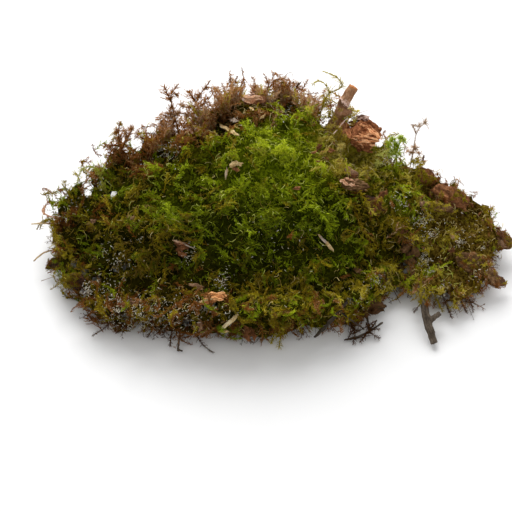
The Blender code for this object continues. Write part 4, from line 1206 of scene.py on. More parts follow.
# Leafy sprigs that stand out of the clump, along the paths of their nodes: points in mm, with the kind
# of leaf, how thick the sprig is, how light it is, and the share of side branches that it keeps
pathShift = (-6.26, -4.89, 0)
sprigs = {
    "sprig_left": {"kind": "old", "size": 1.0, "tint": 0.5, "branches": 0.8, "paths": [
        [(-50.5, 27, 14), (-51.5, 29.5, 21), (-52.5, 32, 28), (-53, 33.5, 34), (-52, 34.5, 38.5)],
        [(-52, 31.5, 26.5), (-49.5, 33.5, 31), (-47, 34.5, 36)],
        [(-52.5, 32, 28), (-56, 31, 29.5), (-58.5, 30.5, 29)],
    ]},
    "sprig_far_left": {"kind": "paleGreen", "size": 0.8, "tint": 0.6, "branches": 0.6, "paths": [
        [(-56.5, 15, 15), (-59, 18, 22.5), (-61, 20, 28), (-65, 20, 29), (-67.5, 19, 26.5),
         (-68.5, 17, 22.5)],
        [(-59.8, 19, 25), (-58, 21.5, 28.5)],
    ]},
    "sprig_back_left": {"kind": "old", "size": 1.15, "tint": 0.5, "branches": 1.0, "paths": [
        [(-28.5, 29, 23), (-29.5, 33, 30), (-30.5, 37, 35), (-32.5, 41.5, 41), (-32, 43.5, 46),
         (-30, 44, 49)],
        [(-32.5, 42, 42), (-34, 42.5, 46), (-35, 43, 49.5)],
        [(-31, 38, 36.5), (-32.5, 39, 37.5), (-34, 40, 38.5)],
    ]},
    "sprig_back_left_short": {"kind": "old", "size": 1.15, "tint": 0.55, "branches": 1.0, "paths": [
        [(-24, 31, 24), (-24, 36, 31), (-24, 40, 36.5), (-23, 43, 41), (-21, 44, 45), (-17.5, 45, 50.5)],
        [(-23, 43, 41), (-24.5, 43, 44), (-25.5, 43, 46.5)],
        [(-23.5, 41, 38), (-20.5, 42.5, 40.5), (-18.5, 43.5, 43)],
    ]},
    "sprig_back_right": {"kind": "olive", "size": 0.8, "tint": 0.75, "branches": 0.5, "paths": [
        [(23.5, 38, 30), (25, 41, 38), (26.5, 42.5, 43), (28, 43, 46), (26.5, 44, 49.5), (23.5, 44.5, 51),
         (21.5, 44.5, 48.5)],
        [(28, 43, 46), (31.5, 44, 47), (33, 44.5, 49), (31.5, 45, 51.5), (29.5, 45, 53.5), (25.5, 45.5, 55)],
    ]},
    "sprig_bright_green": {"kind": "bright", "size": 1.1, "tint": 0.6, "branches": 0.7, "paths": [
        [(54, 22.5, 21), (54, 25, 27), (53.5, 27, 31), (53, 28.5, 35.5)],
        [(53.5, 26.5, 29.5), (54.5, 27.5, 33), (56, 28.5, 36)],
        [(53.5, 26.5, 29), (52, 27, 31), (50.5, 27.5, 33)],
    ]},
    "dry_seed_head": {"kind": "dry", "size": 0.42, "tint": 0.6, "branches": 0.3, "paths": [
        [(58, 21, 16), (59.6, 25.4, 24), (60.2, 26.3, 30.5), (60.5, 26.5, 35), (61, 27.5, 39.5),
         (62.5, 28, 43), (64.5, 28, 45.5)],
        [(61, 27.5, 39.5), (60, 28, 42), (59, 28, 44)],
        [(60.5, 26.3, 32), (62.5, 26.5, 33.5)],
    ]},
}
sprigLeaf = {
    "spacing": 0.24, "length": 1.5, "width": 0.42, "open": 0.9, "flat": 0.9, "fold": 0.12, "curl": 0.3,
}
sprigTube = {"rings": 5, "sides": 5, "radius": 0.30}
sprigBranch = {"count": 5, "first": 0.1, "last": 0.95, "share": 0.8, "length": 4.2, "spread": 0.85}


def pathStems(points, size, tint, age):
    # a path of points in mm as a row of short curved stems that share its taper
    spots = (np.array(points, float) + pathShift) * mm
    ahead = np.vstack([spots[1:], spots[-1]])
    behind = np.vstack([spots[0], spots[:-1]])
    slope = (ahead - behind) / 2
    start, end = spots[:-1], spots[1:]
    bend = (start + end) / 2 + (slope[:-1] - slope[1:]) / 4
    up = np.tile(unit(viewerWay), (len(start), 1))
    marks = np.linspace(0, 1, len(spots))
    return stemSet(start, bend, end, up, size, tint, age, marks[:-1], marks[1:])


def makeSprigs():
    rng = np.random.default_rng(11)
    for name, spec in sprigs.items():
        stems = joinStems([pathStems(path, spec["size"], spec["tint"], 0.5) for path in spec["paths"]])
        branch = {**sprigBranch, "share": spec["branches"]}
        parts = leafyParts(stems, rng, branch, sprigTube, sprigLeaf)
        look = leafLooks[spec["kind"]]
        mesh = leafyMesh(pieceName(name), parts)
        showPiece(pieceName(name), mesh, leafPaint(pieceName(name) + "Leaves", look), [name])
    print("sprigs:", len(sprigs))


# Thin curled strands that lie on the shoots, pale green or beige
strand = {
    "tries": 9000,
    "apart": 1.4,  # mm
    "lobeApart": 0.95,
    "height": 4,  # mm over the floor from which they lie
    "length": (0.7, 3.6),
    "lift": (-0.5, 1.3),  # mm over the outline
    "bow": 0.5,  # how far they bend, as shares of their length
    "arch": (0.0, 0.4),
    "size": (0.5, 1.15),
}
strandTube = {"rings": 4, "sides": 3, "radius": 0.145}


def makeStrands(camera, mossTree, openTree, found):
    rng = np.random.default_rng(23)
    spots, normals = scatterSpots(nodes["moss_mat"].data, strand["tries"], rng)
    keep = (spots[:, 2] > strand["height"] * mm) & (normals[:, 2] > -0.1)
    spots, normals = spots[keep], normals[keep]
    keep = thinMoss(spots, strand)
    keep &= ~hides(camera, openTree, spots, bareSpots) & ~inPatches(camera, spots, openings, shoot["open"])
    edge, pixels = shoot["even"][:2]
    keep[keep] = (spots[keep, 0] < edge * mm) | ~pastOutline(camera, mossTree, spots[keep], pixels)
    spots, normals = spots[keep], normals[keep]
    count = len(spots)
    kind, tint = colourAt(spots, normals, found, rng)
    flow = rng.normal(0, 1, spots.shape)
    flow = unit(flow - normals * (flow * normals).sum(1, keepdims=True))
    side = np.cross(normals, flow)
    length = rng.uniform(*strand["length"], (count, 1)) * mm
    low, high = (rng.uniform(*strand["lift"], (count, 1)) * mm for _ in range(2))
    start = spots - flow * length / 2 + normals * np.minimum(low, high)
    end = spots + flow * length / 2 + normals * np.minimum(low, high)
    bend = spots + side * length * rng.normal(0, strand["bow"], (count, 1))
    bend += normals * (np.maximum(low, high) + length * rng.uniform(*strand["arch"], (count, 1)))
    # the strands follow the shoots' tint, with its painted light and shade
    light = np.clip(tint * 0.95 + rng.normal(0.02, 0.35, count), 0, 1)
    stems = stemSet(start, bend, end, normals, rng.uniform(*strand["size"], count), light)
    for name, which in (("paleGreen", kind == 0), ("beige", kind > 0)):
        showLeafy(name + "Strands", [growTubes(takeStems(stems, which), strandTube)], name)
        print(name, "strands:", which.sum())


# Pale flecks that paint specks of light where the floor would show through the lace, made as bits of pale
# dry leaf: where they are thick on the picture, how far they spread in pixels, and how many there are
flecks = [
    ((420, 220), 14, 60), ((432, 254), 8, 30), ((462, 243), 8, 16), ((386, 281), 9, 30),
    ((72, 205), 12, 50), ((98, 178), 10, 30), ((120, 265), 24, 60), ((92, 290), 14, 60),
    ((150, 315), 26, 190), ((200, 310), 16, 70), ((110, 300), 16, 60), ((168, 150), 14, 70),
    ((470, 228), 22, 34), ((480, 272), 16, 40), ((400, 200), 14, 40), ((190, 255), 16, 35),
    ((225, 280), 14, 35), ((330, 118), 8, 20), ((395, 158), 9, 30), ((355, 305), 14, 35),
    ((440, 290), 16, 50), ((130, 150), 14, 30), ((260, 92), 34, 60), ((280, 250), 40, 40),
    ((483, 248), 3, 12), ((422, 262), 8, 40), ((430, 228), 8, 40), ((425, 217), 6, 20), ((378, 278), 8, 30),
    ((366, 289), 7, 30), ((86, 290), 9, 40), ((128, 310), 26, 90), ((160, 325), 26, 90),
    ((205, 306), 9, 40), ((104, 252), 10, 25), ((117, 263), 8, 25), ((140, 241), 5, 10),
    ((188, 257), 8, 25), ((222, 283), 8, 25), ((115, 318), 20, 60), ((165, 312), 24, 70),
    ((230, 318), 16, 40), ((283, 112), 10, 40), ((165, 150), 8, 30), ((400, 153), 8, 30),
    ((386, 158), 8, 30), ((431, 222), 4, 26), ((431, 233), 5, 26), ((423, 239), 4, 16), ((424, 253), 5, 30),
    ((427, 262), 4, 24), ((430, 271), 4, 26), ((460, 242), 5, 30), ((406, 206), 3, 10), ((411, 242), 4, 12),
    ((130, 318), 22, 70), ((182, 320), 18, 60), ((105, 300), 14, 30),
]
fleckTube = {"rings": 2, "sides": 3, "radius": 0.19}
fleckLength = (0.3, 1.1)  # mm
fleckLift = (-0.7, 1.0)  # mm over the outline, towards the viewer
fleckSize = (0.5, 1.1)


def makeFlecks(camera, mossTree):
    rng = np.random.default_rng(71)
    spots = []
    for middle, spread, count in flecks:
        for pixel in rng.normal(middle, spread * 0.5, (count, 2)):
            spot = spotSeen(camera, mossTree, pixel)
            if spot:
                spots.append(spot - sightLine(camera, pixel) * rng.uniform(*fleckLift) * mm)
    spots = np.array(spots)
    count = len(spots)
    half = unit(rng.normal(0, 1, (count, 3))) * rng.uniform(*fleckLength, (count, 1)) * mm / 2
    bend = spots + rng.normal(0, 0.12, (count, 3)) * mm
    up = unit(np.cross(half, rng.normal(0, 1, (count, 3))))
    size, tint = rng.uniform(*fleckSize, count), rng.uniform(0.1, 1, count)
    stems = stemSet(spots - half, bend, spots + half, up, size, tint)
    showLeafy("paleFlecks", [growTubes(stems, fleckTube)], "pale")
    print("pale flecks:", count)


# Bare brown stems and rootlets that hang out of the torn rim
rootlet = {
    "tries": 1500,
    "apart": 2.1,
    "height": (0.8, 13.0),  # mm over the floor
    "steep": 0.65,  # how far the surface may face up or down where they grow
    "sunk": 4,
    "length": (3.5, 9.0),
    "size": (0.55, 1.3),
    "branches": {"count": 4, "first": 0.25, "last": 0.95, "share": 0.75, "length": 2.6, "spread": 0.9},
}
rootTube = {"rings": 5, "sides": 3, "radius": 0.2}
rootLeaf = {"spacing": 0.8, "length": 0.9, "width": 0.55, "open": 1.0, "flat": 0.9, "fold": 0.1, "curl": 0.3}


def makeRootlets():
    rng = np.random.default_rng(31)
    spots, normals = scatterSpots(nodes["moss_mat"].data, rootlet["tries"], rng)
    low, high = (height * mm for height in rootlet["height"])
    keep = (spots[:, 2] > low) & (spots[:, 2] < high) & (np.abs(normals[:, 2]) < rootlet["steep"])
    spots, normals = spots[keep], normals[keep]
    keep = thinSpots(spots, rootlet["apart"] * mm)
    spots, normals = spots[keep], normals[keep]
    count = len(spots)
    length = rng.uniform(*rootlet["length"], (count, 1)) * mm
    way = unit(normals * 0.7 + rng.normal(0, 0.45, spots.shape) + (0, 0, -0.25))
    start = spots - normals * rootlet["sunk"] * mm
    bend = spots + way * length * 0.25 + rng.normal(0, 0.6, spots.shape) * mm
    end = bend + unit(way + rng.normal(0, 0.5, spots.shape) + (0, 0, -0.3)) * length * 0.45
    end[:, 2] = np.maximum(end[:, 2], 0.3 * mm)
    up = unit(rng.normal(0, 0.5, spots.shape) + viewerWay)
    size, tint = rng.uniform(*rootlet["size"], count), rng.uniform(0.1, 0.9, count)
    stems = stemSet(start, bend, end, up, size, tint)
    branches = growBranches(stems, rootlet["branches"], rng)
    leaves = growLeaves(branches, rootLeaf, rng)
    showLeafy("rootlets", [growTubes(stems, rootTube), growTubes(branches, sideTube), leaves], "root")
    print("rootlets:", count)


# Tall brown shoots that crowd along the back rim: from and to across the picture, where their feet are
# on it, how far they rise in mm, how many there are and how light
fringe = [
    ((164, 196), (130, 116), (4, 9), 62, 0.85), ((190, 203), (122, 114), (5, 10), 14, 0.85),
    ((200, 214), (126, 120), (2, 4), 16, 0.7), ((213, 236), (106, 98), (4, 9), 42, 0.85),
    ((234, 262), (98, 93), (3, 7), 44, 1.0), ((236, 300), (94, 95), (2, 6), 30, 1.05),
    ((260, 292), (94, 94), (3, 7), 44, 1.0), ((290, 320), (96, 110), (3, 7), 36, 1.05),
    ((146, 168), (150, 130), (2, 5), 26, 0.5), ((92, 122), (172, 150), (2, 4.5), 24, 0.5),
    ((54, 82), (226, 202), (1, 3), 30, 0.1), ((128, 148), (158, 154), (1, 3), 12, 0.4),
]
fringeShape = {
    "drop": 8,  # pixels over which the feet spread downwards
    "sunk": 3,  # mm
    "olive": 0.15,  # the share of olive shoots
    "tint": (-0.35, 0.35),
    "size": (0.6, 0.85),
}
fringeBranch = {"count": 6, "first": 0.2, "last": 0.95, "share": 0.85, "length": 3.0, "spread": 0.9}


def makeFringe(camera, mossTree, openTree):
    rng = np.random.default_rng(81)
    feet, rises, tint = [], [], []
    for (left, right), (leftFoot, rightFoot), rise, count, light in fringe:
        for share, drop, tall in rng.random((count, 3)):
            low = leftFoot + (rightFoot - leftFoot) * share + drop * fringeShape["drop"]
            pixel = (left + (right - left) * share, low)
            foot = spotSeen(camera, mossTree, pixel)
            if foot:
                feet.append(foot)
                rises.append(rise[0] + (rise[1] - rise[0]) * tall)
                tint.append(light)
    feet, rises = np.array(feet), np.array(rises)[:, None] * mm
    count = len(feet)
    way = unit(rng.normal(0, (0.35, 0.25, 0.1), (count, 3)) + (0, 0.2, 1))
    start = feet - way * fringeShape["sunk"] * mm
    bend = feet + way * rises * 0.5 + rng.normal(0, 0.7, (count, 3)) * mm
    end = feet + way * rises + rng.normal(0, (1.4, 0.9, 0.6), (count, 3)) * mm
    up = unit(rng.normal(0, 0.6, (count, 3)) + viewerWay)
    tint = np.array(tint) + rng.uniform(*fringeShape["tint"], count)
    stems = stemSet(start, bend, end, up, rng.uniform(*fringeShape["size"], count), tint, 0.25)
    hiding = sum(hides(camera, openTree, spots, bareSpots) for spots in (start, bend, end)) > 0
    few = rng.random(count) < fringeShape["olive"]
    for kind, which in (("old", ~few & ~hiding), ("olive", few & ~hiding)):
        parts = leafyParts(takeStems(stems, which), rng, fringeBranch)
        triangles = showLeafy(kind + "Fringe", parts, kind)
        print(kind, "fringe:", which.sum(), "shoots,", triangles, "triangles")


# Splintered slats of rotten wood, and the bark beside them: where each runs on the picture, its width
# and thickness in mm, how far it stands out, and its look
slats = [
    ((342, 120), (348, 137), 3.6, 1.6, 0.4, "orangeBark"),
    ((346, 124), (351, 138), 2.4, 1.4, 0.6, "rottenWood"),
    ((357, 117), (367, 120), 2.6, 2.0, 0.8, "pinkBark"), ((349, 122), (362, 125), 1.8, 1.2, 0.4, "redBark"),
    ((350, 125), (366, 127), 1.6, 1.0, 0.5, "rottenWood"),
    ((350, 129), (368, 128), 1.1, 0.8, 1.1, "brightSlat"),
    ((352, 131), (374, 133), 0.8, 0.7, 1.5, "brightSlat"),
    ((351, 134), (372, 134), 1.0, 0.8, 1.2, "brightSlat"),
    ((355, 136), (378, 138), 0.8, 0.6, 1.7, "brightSlat"),
    ((352, 138), (370, 141), 1.0, 0.8, 1.2, "brightSlat"),
    ((357, 141), (379, 142), 0.8, 0.6, 1.6, "brightSlat"),
    ((359, 144), (376, 145), 1.0, 0.7, 1.4, "brightSlat"),
    ((362, 147), (374, 148), 0.8, 0.6, 1.2, "brightSlat"),
    ((366, 124), (377, 133), 1.0, 0.7, 0.7, "rottenWood"),
    ((348, 137), (358, 146), 1.0, 0.7, 0.6, "rottenWood"),
    ((371, 130), (382, 137), 0.8, 0.6, 1.0, "brightSlat"),
    ((354, 126), (370, 131), 0.8, 0.6, 1.3, "brightSlat"),
    ((360, 134), (380, 141), 0.7, 0.5, 1.9, "brightSlat"),
    ((351, 127), (362, 124), 0.9, 0.6, 1.3, "brightSlat"),
    ((361, 124), (374, 130), 0.9, 0.6, 1.2, "brightSlat"),
    ((368, 129), (381, 139), 0.9, 0.6, 1.6, "brightSlat"),
    ((364, 150), (372, 152), 0.9, 0.6, 0.7, "rottenWood"),
    ((350, 141), (360, 149), 0.8, 0.6, 0.6, "rottenWood"),
    ((346, 131), (354, 143), 1.0, 0.7, 0.7, "rottenWood"),
    ((199, 302), (212, 299), 0.7, 0.5, 0.5, "paleWood"),
    ((204, 295), (224, 293), 1.3, 0.8, 0.7, "orangeWood"),
    ((206, 298), (223, 299), 1.2, 0.7, 0.9, "orangeWood"),
    ((218, 293), (226, 297), 1.4, 0.7, 0.8, "orangeWood"),
    ((220, 125), (239, 134.8), 1.2, 0.7, 1.6, "paleWood"),
    ((250, 106.6), (253.4, 110), 0.8, 0.5, 2.4, "paleWood"),
    ((233, 163), (242, 164), 1.5, 0.6, 1.3, "paleWood"),
    ((228, 170), (226, 178), 0.5, 0.4, 1.3, "paleWood"),
    ((240, 98), (262, 97.6), 2.6, 1.2, 3.4, "pinkFlake"),
    ((243, 102.6), (261, 102.4), 1.8, 0.8, 2.4, "redBark"),
    ((194, 286), (203, 290), 1.0, 0.6, 0.6, "deadLeaf"), ((176, 245), (183, 247), 0.8, 0.5, 0.9, "redBark"),
    ((176, 249), (186, 255), 2.2, 0.8, 0.2, "redBark"),
    ((340, 179), (349, 185), 1.3, 0.6, 1.0, "pinkFlake"),
    ((344, 178), (354, 181), 0.7, 0.5, 1.0, "pinkFlake"),
    ((349, 184), (355, 186), 1.0, 0.5, 1.2, "pinkFlake"),
    ((357, 185), (367, 190), 0.8, 0.5, 1.1, "pinkFlake"),
    ((320, 236), (327, 243), 0.9, 0.5, 1.0, "greyWood"),
    ((325, 241), (333, 251), 1.1, 0.5, 1.0, "paleWood"),
    ((174, 241), (184, 243), 0.9, 0.5, 1.2, "pinkFlake"),
    ((183, 243), (194, 249), 0.5, 0.4, 1.3, "greyWood"), ((245, 326), (249, 341), 2.0, 0.6, 0.3, "redBark"),
    ((251, 327), (255, 340), 1.6, 0.6, 0.3, "redBark"),
    ((492, 279), (496, 285), 1.4, 0.6, 0.6, "orangeBark"),
    ((488, 269), (496, 284), 2.6, 0.7, 0.3, "brownBark"),
    ((501, 241), (508, 247), 2.0, 0.6, 0.4, "deadLeaf"),
    ((420, 203), (427, 205), 1.8, 0.7, 0.8, "deadLeaf"),
    ((334, 133), (347, 118), 0.5, 0.4, 4.6, "paleRose"),
    # the two pale rose slats over the back chip paint a highlight along its lit top edge
    ((249, 94.8), (261, 94.4), 1.0, 0.7, 5.2, "paleRose"),
    ((241, 98.6), (251, 97.0), 1.3, 0.7, 5.0, "paleRose"),
    ((231, 119), (237, 121), 1.6, 0.6, 2.4, "greyWood"),
    ((182, 131), (190, 134), 1.6, 0.7, 2.0, "orangeBark"),
    ((187, 129), (194, 133), 1.2, 0.6, 2.2, "pinkFlake"),
    ((226.8, 168), (226.2, 177), 0.4, 0.4, 1.8, "paleRose"),
]
# What they lie on
slatCarriers = ("rotten_wood", "cut_twig", "splinter_front", "splinter_centre", "bark_flake_centre",
                "bark_flake_tip", "bark_flake_right_low", "moss_mat")


def slatShape(start, end, width, thickness, seed):
    # an uneven splinter with torn ends: its points, their places in the grain, and its faces
    rings = 9
    way = (end - start).normalized()
    face = Vector(viewerWay)
    face = (face - way * way.dot(face)).normalized()
    across = way.cross(face)
    length = (end - start).length
    corners = [(-1, -1), (-0.4, 1), (0.3, 0.7), (1, 1), (1, -0.6), (0.2, -1)]
    points, grain = [], []
    for ring in range(rings):
        t = ring / (rings - 1)
        taper = 0.35 + 0.65 * min(1.0, 5 * min(t, 1 - t))
        drift = noise.noise(Vector((t * 4, seed, 2.3))) * 0.5
        for number, (x, z) in enumerate(corners):
            jitter = [noise.noise(Vector((t * 9, number * 3.1, seed + axis * 5.3))) for axis in range(3)]
            x = x * width / 2 * (taper + jitter[0] * 0.8) + drift * width
            z = z * thickness / 2 * (taper + jitter[1] * 0.7)
            along = t * length + jitter[2] * 1.6 * mm * abs(2 * t - 1) ** 4
            points.append(start + way * along + (across * x + face * z) * mm)
            grain.append((along / mm, x + seed * 2.7, z))
    sides = len(corners)
    faces = []
    for ring in range(rings - 1):
        for number in range(sides):
            near, after = ring * sides + number, ring * sides + (number + 1) % sides
            faces.append((near, after, after + sides, near + sides))
    faces += [tuple(reversed(range(sides))), tuple(range((rings - 1) * sides, rings * sides))]
    return points, grain, faces


def showSlats(group, shapes, look, light=0.0):
    # the splinters of one look as one piece
    name = group + look[0].upper() + look[1:]
    points, grain, faces = [], [], []
    for some, places, sides in shapes:
        faces += [tuple(corner + len(points) for corner in side) for side in sides]
        points += some
        grain += places
    mesh = bpy.data.meshes.new(name)
    mesh.from_pydata(points, [], faces)
    keepNumbers(mesh, "grain", grain)
    showPiece(name, mesh, woodPaint(name, woodLooks[look], light))


def makeRottenSlats(camera):
    tree = treeOf(slatCarriers)
    shapes = {}
    for number, (first, last, width, thickness, out, look) in enumerate(slats):
        hits = [spotSeen(camera, tree, pixel) for pixel in (first, last)]
        known = hits[0] or hits[1]
        if not known:
            print("no wood at", first, last)
        height = known.z / mm if known else 35
        ends = []
        for pixel, hit in zip((first, last), hits):
            ends.append((hit or Vector(spotAt(camera, pixel, height))) - sightLine(camera, pixel) * out * mm)
        shapes.setdefault(look, []).append(slatShape(*ends, width, thickness, number * 4.7))
    for look, some in shapes.items():
        showSlats("slats", some, look)
    print("slats of wood and bark:", len(slats))


# Crumbs of bark and wood in the moss: look, where on the picture, length and width in mm, and turn in
# degrees; and how many more lie at random on the lobe and along the back
crumbs = [
    ("orangeBark", (297, 188), 2.2, 1.2, 10), ("redBark", (184, 247), 4.5, 2.0, 20),
    ("pinkFlake", (428, 203), 2.4, 1.2, 0), ("paleWood", (262, 117), 2.0, 0.9, 40),
    ("orangeBark", (330, 150), 3.0, 1.6, -20), ("redBark", (318, 148), 3.0, 1.6, 30),
    ("paleWood", (209, 125), 2.2, 1.0, 60), ("redBark", (122, 305), 3.4, 1.6, 10),
    ("deadLeaf", (133, 303), 3.0, 1.4, 0), ("deadLeaf", (92, 222), 3.0, 1.6, 40),
    ("deadLeaf", (132, 218), 3.0, 1.4, -20), ("paleWood", (224, 331), 2.6, 1.2, 0),
    ("redBark", (373, 211), 3.0, 1.8, 20), ("pinkFlake", (376, 200), 2.4, 1.4, 60),
    ("redBark", (371, 205), 5.0, 2.4, 70), ("brownBark", (413, 256), 7.0, 4.6, 60),
    ("deadLeaf", (466, 268), 3.6, 2.0, 0), ("brownBark", (358, 270), 3.0, 1.8, 0),
    ("redBark", (446, 186), 4.0, 2.0, -30), ("redBark", (500, 232), 4.0, 2.0, -50),
    ("pinkFlake", (424, 208), 3.6, 1.6, -10), ("redBark", (452, 250), 3.0, 1.6, 10),
    ("redBark", (500, 262), 4.0, 2.0, -60), ("orangeBark", (497, 284), 3.4, 1.8, -70),
    ("redBark", (383, 195), 4.6, 1.8, 50), ("redBark", (352, 176), 4.0, 1.6, 20),
    ("orangeBark", (322, 152), 3.0, 1.4, 0), ("brownBark", (130, 306), 3.4, 1.4, 10),
    ("deadLeaf", (200, 325), 4.0, 1.6, 80), ("redBark", (245, 332), 4.0, 1.6, 70),
    ("orangeBark", (236, 169), 2.4, 1.6, 0), ("redBark", (376, 301), 2.8, 1.4, 10),
    ("brownBark", (405, 248), 4.0, 3.0, 40), ("brownBark", (400, 266), 4.0, 2.6, -20),
    ("orangeBark", (314, 152), 1.8, 0.9, 30), ("orangeBark", (326, 158), 2.0, 1.0, -30),
    ("orangeBark", (334, 143), 1.6, 0.8, 60), ("orangeBark", (319, 161), 1.8, 0.8, 0),
    ("redBark", (309, 143), 1.8, 0.9, -50), ("orangeBark", (341, 160), 1.8, 0.9, 20),
]
scatteredCrumbs = {
    "looks": ("brownBark", "redBark", "deadLeaf", "orangeBark"),
    "tries": 2400,
    "count": 130,
    "size": (0.8, 2.2),
}
crumbLight = -0.08  # how much lighter than their look


def makeCrumbs(camera, mossTree):
    rng = np.random.default_rng(61)
    shapes = {}

    def lay(look, spot, length, width, turn, number):
        way = Vector((math.cos(turn), math.sin(turn) * 0.64, math.sin(turn) * 0.77)) * length * mm / 2
        shape = slatShape(spot - way, spot + way, width, width * 0.45, number * 3.9)
        shapes.setdefault(look, []).append(shape)

    for number, (look, pixel, length, width, turn) in enumerate(crumbs):
        hit = spotSeen(camera, mossTree, pixel)
        if hit:
            lay(look, hit - sightLine(camera, pixel) * 0.5 * mm, length, width, math.radians(turn), number)
    spots, normals = scatterSpots(nodes["moss_mat"].data, scatteredCrumbs["tries"], rng)
    # on the lobe, along the back and low down
    brown = (spots[:, 0] > 45 * mm) | (spots[:, 1] > 30 * mm) | (spots[:, 2] < 10 * mm)
    keep = brown & (normals[:, 2] > 0.1) & (spots[:, 2] > 3 * mm)
    for number, (spot, normal) in enumerate(zip(spots[keep], normals[keep])):
        if number >= scatteredCrumbs["count"]:
            break
        look = scatteredCrumbs["looks"][rng.integers(len(scatteredCrumbs["looks"]))]
        length = rng.uniform(*scatteredCrumbs["size"])
        width, turn = length * rng.uniform(0.25, 0.5), rng.uniform(0, 3)
        lay(look, Vector(spot - normal * 0.3 * mm), length, width, turn, number + 50)
    for look, some in shapes.items():
        showSlats("crumbs", some, look, crumbLight)
    print("crumbs:", sum(len(some) for some in shapes.values()))


# Loose sprays at the rim and single straws: kind, size, whether it has leaves, and its path as points of
# the picture with their height in mm
sprays = [
    ("olive", 0.8, True, [(78, 208, 15), (70, 196, 19), (62, 184, 24)]),
    ("olive", 0.7, True, [(72, 212, 14), (66, 205, 17), (60, 199, 20)]),
    ("old", 0.7, True, [(84, 198, 18), (83, 186, 22), (90, 177, 25)]),
    ("old", 0.7, True, [(243, 100, 38), (241, 88, 42), (244, 78, 47)]),
    ("old", 0.7, True, [(255, 98, 40), (256, 86, 44), (252, 77, 48)]),
    ("old", 0.6, True, [(266, 96, 41), (268, 84, 45), (264, 74, 49)]),
    ("dry", 0.5, False, [(278, 96, 41), (281, 84, 46), (287, 74, 50), (292, 73, 50), (293, 80, 47)]),
    ("old", 0.7, True, [(300, 100, 40), (302, 90, 43), (308, 80, 48)]),
    ("olive", 0.6, True, [(340, 120, 34), (345, 110, 38), (349, 102, 42)]),
    ("bright", 0.5, True, [(487, 227, 10), (493, 219, 14), (497, 213, 17)]),
    ("olive", 0.5, True, [(490, 238, 9), (498, 235, 10), (504, 238, 9)]),
    ("root", 0.8, True, [(440, 288, 8), (446, 304, 5), (452, 318, 2)]),
    ("root", 0.8, True, [(450, 284, 8), (460, 300, 5), (467, 313, 2)]),
    ("olive", 0.7, True, [(432, 288, 8), (437, 300, 6), (443, 312, 3)]),
    ("root", 0.7, True, [(428, 290, 7), (420, 304, 5), (414, 312, 3)]),
    ("root", 0.6, True, [(460, 290, 6), (470, 300, 4), (473, 312, 2)]),
    ("root", 0.8, True, [(176, 312, 8), (172, 330, 5), (170, 346, 1.5)]),
    ("root", 0.7, True, [(186, 316, 7), (196, 334, 4), (204, 346, 1.5), (213, 352, 1)]),
    ("root", 0.6, True, [(114, 320, 6), (103, 329, 3), (92, 336, 1)]),
    ("olive", 0.9, True, [(284, 322, 6), (281, 336, 4), (279, 348, 1.5)]),
    ("olive", 0.8, True, [(275, 322, 6), (274, 334, 4), (271, 343, 2)]),
    ("green", 0.6, True, [(224, 320, 8), (226, 331, 5), (222, 337, 3)]),
    ("root", 0.7, True, [(155, 318, 7), (152, 330, 4), (147, 337, 2)]),
    ("root", 0.8, True, [(240, 322, 7), (246, 335, 4), (252, 342, 2)]),
    ("root", 0.7, True, [(130, 316, 7), (124, 327, 4), (116, 333, 2)]),
    ("dry", 0.45, False, [(41, 281, 6), (50, 278, 7), (62, 274, 9)]),
    ("beige", 0.5, False, [(404, 156, 28), (405, 146, 33), (411, 138, 38)]),
    ("dry", 0.4, False, [(354, 116, 40), (362, 112, 42), (369, 110, 43)]),
    ("ochre", 0.9, True, [(321, 150, 27.5), (323, 142, 31), (326, 134, 34)]),
    ("ochre", 0.9, True, [(329, 150, 28.5), (331, 141, 32.5), (334, 132, 36)]),
    ("ochre", 0.9, True, [(337, 149, 30), (338, 140, 33.5), (342, 131, 36.5)]),
    ("ochre", 0.8, True, [(345, 150, 31), (346, 142, 33.5), (350, 137, 35)]),
    ("root", 0.8, True, [(350, 322, 5), (355, 333, 3), (353, 344, 1)]),
    ("root", 0.8, True, [(377, 320, 5), (369, 331, 3), (360, 342, 1.2)]),
    ("root", 0.7, True, [(366, 322, 5), (371, 333, 2.5), (380, 338, 1)]),
    ("root", 0.6, True, [(344, 318, 6), (350, 326, 3.5), (358, 331, 2)]),
    ("old", 0.7, True, [(262, 96, 41), (274, 82, 46), (282, 79, 48)]),
    ("old", 0.6, True, [(104, 142, 28), (108, 148, 27), (116, 152, 25)]),
    ("root", 0.8, False, [(344, 340, 1.2), (357, 338, 1.6), (372, 335, 2)]),
    ("root", 0.7, True, [(352, 334, 2), (362, 329, 3.5), (374, 322, 6)]),
    ("root", 0.7, True, [(348, 338, 1.5), (354, 328, 3.5), (358, 318, 6)]),
    ("root", 0.6, True, [(364, 336, 2), (372, 330, 3), (380, 329, 3)]),
]


def makeSprays(camera):
    rng = np.random.default_rng(43)
    for number, (kind, size, leafy, path) in enumerate(sprays):
        points = [spotAt(camera, (x, y), height) / mm - pathShift for x, y, height in path]
        stems = pathStems(points, size, 0.5, 0.5)
        bare = [growTubes(stems, sprigTube)]
        parts = leafyParts(stems, rng, tube=sprigTube, leaf=sprigLeaf) if leafy else bare
        showLeafy(f"spray{number + 1}", parts, kind)
    print("sprays and straws:", len(sprays))


